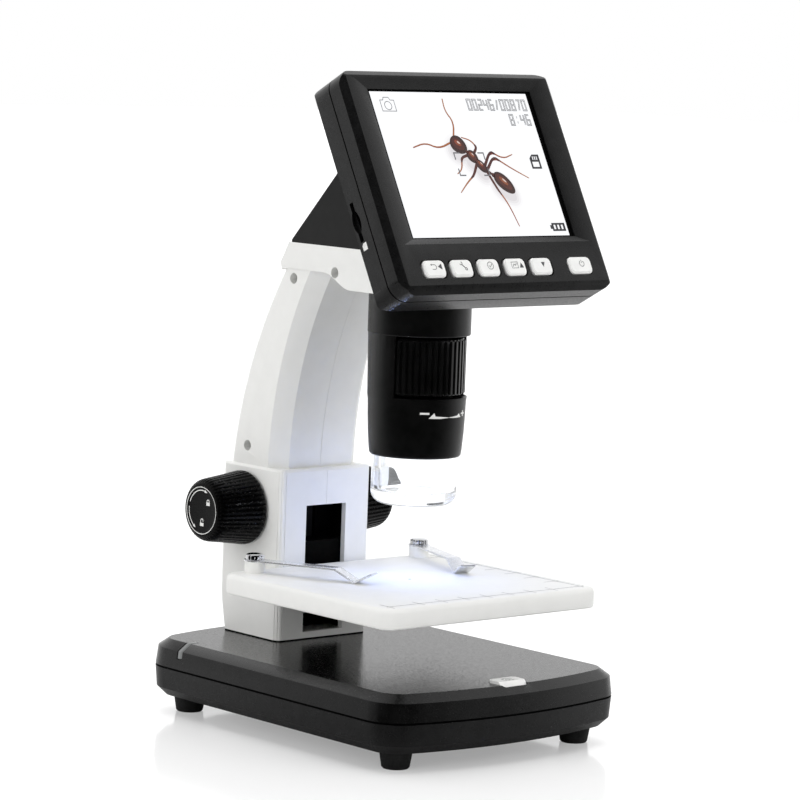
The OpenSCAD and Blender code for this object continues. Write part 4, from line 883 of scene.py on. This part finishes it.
# %% The insect, layer by layer
LEGS = [
    [(0.4, 3.4), (-3.2, 2.4), (-4.4, -1.8), (-7.2, -3.6)],
    [(3.0, 0.4), (0.0, -4.0), (-4.0, -6.8), (-8.2, -10.4)],
    [(6.0, -1.8), (8.6, -9.0), (11.6, -14.6), (13.4, -22.8)],
    [(2.6, 3.6), (5.0, 6.2), (3.2, 8.8), (-0.6, 9.8)],
    [(6.2, -0.6), (10.4, 4.8), (15.4, 2.0), (20.2, 3.6)],
    [(7.0, -1.8), (11.2, 2.8), (17.6, -1.4), (24.6, -5.2)],
]
FEELERS = [
    [(-4.2, 9.2), (-1.8, 15.4), (-4.2, 19.4), (-3.8, 24.0)],
    [(-5.2, 8.2), (-12.0, 5.6), (-17.2, 7.8), (-23.2, 6.0)],
]
SEGMENTS = [(-2.8, 7.0, 3.7, 3.2, -38, -0.12), (0.2, 4.3, 0.9, 0.7, -40, 0), (1.9, 2.7, 2.7, 2.1, -50, -0.1),
            (4.6, -0.6, 3.0, 1.75, -50, 0.1), (7.4, -3.1, 1.0, 0.6, -40, 0), (8.6, -4.0, 0.8, 0.8, -40, 0),
            (12.6, -6.9, 5.0, 2.8, -45, -0.1)]


def scaled(segments, along, across, dx, dy, grow=0.0):
    """The body's ovals with both axes scaled, shifted and grown."""
    return [oval(x + dx, y + dy, a * along + grow, b * across + grow, lean, taper)
            for x, y, a, b, lean, taper in segments]


def upper(leg):
    """The half of a leg next to the body."""
    (x0, y0), (x1, y1), (x2, y2) = leg[:3]
    return [(x0, y0), (x1, y1), (0.6 * x1 + 0.4 * x2, 0.6 * y1 + 0.4 * y2)]


BIG = [SEGMENTS[0], SEGMENTS[2], SEGMENTS[3], SEGMENTS[6]]
SCREEN = [(f"shade_{k}", SHADES[k], 0.004 * (k + 1), scaled(BIG, 1.0, 1.0, -0.5, -2.4, grow)) for k, grow in
          enumerate((3.0, 2.1, 1.2, 0.3))]
SCREEN += [
    ("limbs", BROWN_WARM, 0.04,
     [tapered(leg, 0.95, 0.30) for leg in LEGS] + [tapered(feeler, 0.75, 0.45) for feeler in FEELERS]),
    ("limb_lights", AMBER, 0.05,
     [tapered(np.array(limb) + [0.08, 0.12], 0.36, 0.16) for limb in LEGS + FEELERS]),
    ("thighs", BROWN, 0.055, [tapered(upper(leg), 1.25, 0.6) for leg in LEGS]),
    ("body_rims", BROWN_DARK, 0.06, scaled(SEGMENTS, 1.0, 1.0, 0, 0)),
    ("body_middles", BROWN, 0.07, scaled(SEGMENTS, 0.78, 0.62, -0.1, 0.35)),
    ("body_lights", BROWN_WARM, 0.08, scaled(BIG, 0.42, 0.26, -0.1, 0.75)),
    ("body_glints", GLINT, 0.09, scaled(BIG, 0.2, 0.1, 0.3, 0.9)),
]

# %% Status signs
STROKES = {
    "0": [[(0, 0), (2, 0), (2, 4), (0, 4), (0, 0)]],
    "2": [[(0, 4), (2, 4), (2, 2), (0, 2), (0, 0), (2, 0)]],
    "4": [[(0, 4), (0, 2), (2, 2)], [(2, 4), (2, 0)]],
    "6": [[(2, 4), (0, 4), (0, 0), (2, 0), (2, 2), (0, 2)]],
    "7": [[(0, 4), (2, 4), (0.8, 0)]],
    "8": [[(0, 0), (2, 0), (2, 4), (0, 4), (0, 0)], [(0, 2), (2, 2)]],
    "/": [[(0.4, 0), (1.7, 4)]],
    ":": [[(0.7, 1.0), (1.3, 1.0)], [(0.7, 3.0), (1.3, 3.0)]],
}


DIGIT_WIDTH, DIGIT_PITCH = 0.78, 2.66


def digits(text, x, y, height, width):
    """Digits drawn as strokes on a 2 by 4 grid, left to right from a lower left corner."""
    k = height / 4
    parts = []
    for place, sign in enumerate(text):
        corner = [x + place * DIGIT_PITCH * k, y]
        for path in STROKES[sign]:
            parts.append(stroke(np.array(path, float) * [DIGIT_WIDTH * k, k] + corner, width))
    return parts


LINES = (("00246/00870", 7.0, 20.1), ("8:46", 24.4, 14.6))
counter = [part for text, x, y in LINES for part in digits(text, x, y, 3.75, 0.62)]
counter_core = [part for text, x, y in LINES for part in digits(text, x, y, 3.75, 0.2)]
camera_line = [stroke([(-31.5, 19.2), (-25.5, 19.2), (-25.5, 23.2), (-27.0, 23.2), (-27.5, 24.2),
                       (-29.7, 24.2), (-30.2, 23.2), (-31.5, 23.2), (-31.5, 19.2)], 0.26),
               stroke(arc((-28.5, 21.2), 1.5, 0, 360, 24), 0.26)]
corners = [stroke([(0.5 + sx * 6.6, sy * 1.6), (0.5 + sx * 6.6, sy * 4.1), (0.5 + sx * 4.0, sy * 4.1)], 0.5)
           for sx in (-1, 1) for sy in (-1, 1)]
battery = [bar(28.2, -24.7, 34.2, -21.7), bar(27.4, -23.9, 28.2, -22.5)]
battery_core = [bar(29.0 + 1.7 * k, -24.0, 29.8 + 1.7 * k, -22.4) for k in range(3)]
card = [patch([(27.6, -1.7), (32.1, -1.7), (32.1, 3.6), (29.0, 3.6), (27.6, 2.2)])]
card_core = [bar(28.4, -1.0, 31.3, 0.9)] + [bar(28.9 + 0.9 * k, 1.6, 29.3 + 0.9 * k, 2.9) for k in range(3)]
margin = [bar(-38, 26.3, 38, 28.5), bar(-38, -28.5, 38, -26.3), bar(-38, -26.3, -35.05, 26.3),
          bar(35.05, -26.3, 38, 26.3)]
# %% Lay everything on the screen
SCREEN += [
    ("counter", SIGN_LINE, 0.03, counter), ("counter_core", PANEL, 0.035, counter_core),
    ("camera_sign", SIGN_GREY, 0.03, camera_line), ("focus_corners", SIGN_GREY, 0.10, corners),
    ("battery_sign", SIGN_LINE, 0.03, battery), ("battery_core", PANEL, 0.035, battery_core),
    ("memory_sign", SIGN_LINE, 0.03, card), ("memory_core", PANEL, 0.035, card_core),
    ("screen_margin", INNER_AND_SHADE, 0.02, margin),
]
for name, mat, lift, parts in SCREEN:
    raised = [moved(part, lift=lift - PROUD + 0.005) for part in parts]
    printed("screen_" + name, raised, display_face(0.0), "stand", mat)

# %% [markdown]
# ## Floor, light and camera
#
# The studio is a bright cove behind the object and a dark room behind the camera, which is what gives
# black plastic its shape: each face shows the part of the room that it mirrors. Seen directly, and
# through glass, floor and cove are plain white. The light that reaches the object stays moderate.

# %% The way the camera looks
IMAGE_WIDTH, PIXEL_FOCUS = 800, 3545.9
SENSOR_WIDTH = 36
EYE = (-0.79357, -0.90966, 0.24438)
YAW, PITCH, ROLL = (math.radians(v) for v in (-41.25, 6.19, 2.08))
ahead = np.array([-math.sin(YAW) * math.cos(PITCH), math.cos(YAW) * math.cos(PITCH), -math.sin(PITCH)])
level_right = np.array([math.cos(YAW), math.sin(YAW), 0])
level_up = np.cross(level_right, ahead)


# %% Studio
def link_math(tree, operation, *sources):
    """A Math node over sockets or plain numbers."""
    node = tree.nodes.new("ShaderNodeMath")
    node.operation = operation
    for slot, source in zip(node.inputs, sources):
        if isinstance(source, (int, float)):
            slot.default_value = source
        else:
            tree.links.new(source, slot)
    return node.outputs[0]


def seen_plainly(tree):
    """1 for rays that come from the camera or through glass, else 0; and the node that tells rays apart."""
    path = tree.nodes.new("ShaderNodeLightPath")
    plain = link_math(tree, "MAXIMUM", path.outputs["Is Camera Ray"], path.outputs["Is Transmission Ray"])
    return plain, path


def toward_camera(tree, vector):
    """The part of a vector that points level at the camera: v . (-ahead), with ahead made level."""
    node = tree.nodes.new("ShaderNodeVectorMath")
    node.operation = "DOT_PRODUCT"
    level = np.array([-ahead[0], -ahead[1], 0.0]) / math.hypot(ahead[0], ahead[1])
    node.inputs[1].default_value = tuple(level)
    tree.links.new(vector, node.inputs[0])
    return node.outputs["Value"]


def ramp(tree, value, stops):
    """A grey ramp through (place, level) stops."""
    node = tree.nodes.new("ShaderNodeValToRGB")
    band = node.color_ramp
    band.interpolation = "EASE"
    while len(band.elements) < len(stops):
        band.elements.new(0.5)
    for element, (place, level) in zip(band.elements, stops):
        element.position = place
        element.color = (level, level, level, 1)
    tree.links.new(value, node.inputs["Fac"])
    return node.outputs["Color"]


# %% World
# The room that black plastic mirrors: bright behind the object, paler at the sides, dark at the camera.
ROOM = [(0.0, 1.0), (0.12, 0.92), (0.26, 0.66), (0.5, 0.58), (0.64, 0.42), (0.82, 0.02), (1.0, 0.0)]
world = bpy.data.worlds.new("studio")
bpy.context.scene.world = world
world.use_nodes = True
tree = world.node_tree
background = tree.nodes["Background"]
background.inputs["Color"].default_value = (1, 1, 1, 1)
direction = tree.nodes.new("ShaderNodeTexCoord").outputs["Generated"]
place = link_math(tree, "MULTIPLY_ADD", toward_camera(tree, direction), 0.5, 0.5)
plain, _ = seen_plainly(tree)
tree.links.new(link_math(tree, "MAXIMUM", plain, ramp(tree, place, ROOM)), background.inputs["Strength"])

# %% Floor
floor_mat, floor_shader, vector, tree = new_material("pale floor")
tree.links.new(two_tone(tree, noise_node(tree, vector, 8), (0.80, 0.80, 0.80), (0.82, 0.82, 0.82)),
               floor_shader.inputs["Base Color"])
floor_shader.inputs["Roughness"].default_value = 0.10
floor_shader.inputs["IOR"].default_value = 1.45
plain, path = seen_plainly(tree)
glow = tree.nodes.new("ShaderNodeEmission")
tree.links.new(link_math(tree, "MULTIPLY", plain, 0.30), glow.inputs["Strength"])
add = tree.nodes.new("ShaderNodeAddShader")
tree.links.new(floor_shader.outputs[0], add.inputs[0])
tree.links.new(glow.outputs[0], add.inputs[1])
# The sheet ends a hand's breadth in front of the base; what the object mirrors beyond it is dark.
reach = ramp(tree, link_math(tree, "MULTIPLY_ADD", toward_camera(tree, vector), 2.0, 0.5),
             [(0.1, 0.0), (0.5, 0.45), (0.64, 0.62), (0.80, 0.97), (0.92, 1.0)])
dark = tree.nodes.new("ShaderNodeEmission")
dark.inputs["Strength"].default_value = 0.0
mix = tree.nodes.new("ShaderNodeMixShader")
tree.links.new(link_math(tree, "MULTIPLY", reach, path.outputs["Is Glossy Ray"]), mix.inputs[0])
tree.links.new(add.outputs[0], mix.inputs[1])
tree.links.new(dark.outputs[0], mix.inputs[2])
tree.links.new(mix.outputs[0], tree.nodes["Material Output"].inputs["Surface"])
mesh = bpy.data.meshes.new("floor")
half = 6.0
mesh.from_pydata([(-half, -half, 0), (half, -half, 0), (half, half, 0), (-half, half, 0)], [], [(0, 1, 2, 3)])
mesh.materials.append(floor_mat)
floor = bpy.data.objects.new("floor", mesh)
bpy.context.scene.collection.objects.link(floor)


# %% Lamps
def lamp(kind, name, place, target, power, colour=(1, 1, 1), **settings):
    """A lamp at a place in metres, its -Z axis turned to the target, with other settings given by name."""
    data = bpy.data.lights.new(name, kind)
    data.energy = power
    data.color = colour
    for key, value in settings.items():
        setattr(data, key, value)
    obj = bpy.data.objects.new(name, data)
    obj.visible_glossy = False
    bpy.context.scene.collection.objects.link(obj)
    way = Vector(target) - Vector(place)
    obj.matrix_world = Matrix.Translation(place) @ way.to_track_quat("-Z", "Y").to_matrix().to_4x4()
    print(f"lamp {name}: {power}")


lamp("SUN", "left key", (-1.4, -0.1, 0.55), (0, 0, 0), 1.42, angle=math.radians(50))
lamp("SUN", "overhead", (0.1, 0.25, 1.5), (0, 0, 0), 1.50, angle=math.radians(70))
lamp("SUN", "front fill", (0.5, -1.4, 0.45), (0, 0, 0), 1.45, angle=math.radians(60))
lamp("POINT", "emitter glow", (0, -0.0134, 0.0770), (0, -0.0134, 0), 0.026, (0.28, 0.42, 1.0),
     shadow_soft_size=0.006)

# %% [markdown]
# ## Camera
#
# It stands about 1.2 metres away and looks down a little. The long lens keeps parallel edges almost
# parallel. Its axes are `right`, `up` and minus `ahead`.

# %% Camera
right = math.cos(ROLL) * level_right + math.sin(ROLL) * level_up
up = math.cos(ROLL) * level_up - math.sin(ROLL) * level_right
camera_data = bpy.data.cameras.new("camera")
camera_data.sensor_width = SENSOR_WIDTH
camera_data.lens = PIXEL_FOCUS / IMAGE_WIDTH * SENSOR_WIDTH
camera_data.clip_start = 0.05
camera_data.clip_end = 50
camera = bpy.data.objects.new("camera", camera_data)
bpy.context.scene.collection.objects.link(camera)
pose = np.eye(4)
pose[:3, 0], pose[:3, 1], pose[:3, 2] = right, up, -ahead
pose[:3, 3] = EYE
camera.matrix_world = Matrix(pose.tolist())
bpy.context.scene.camera = camera
bpy.context.scene.view_settings.view_transform = "Standard"
print("lens in millimetres:", round(camera_data.lens, 1))
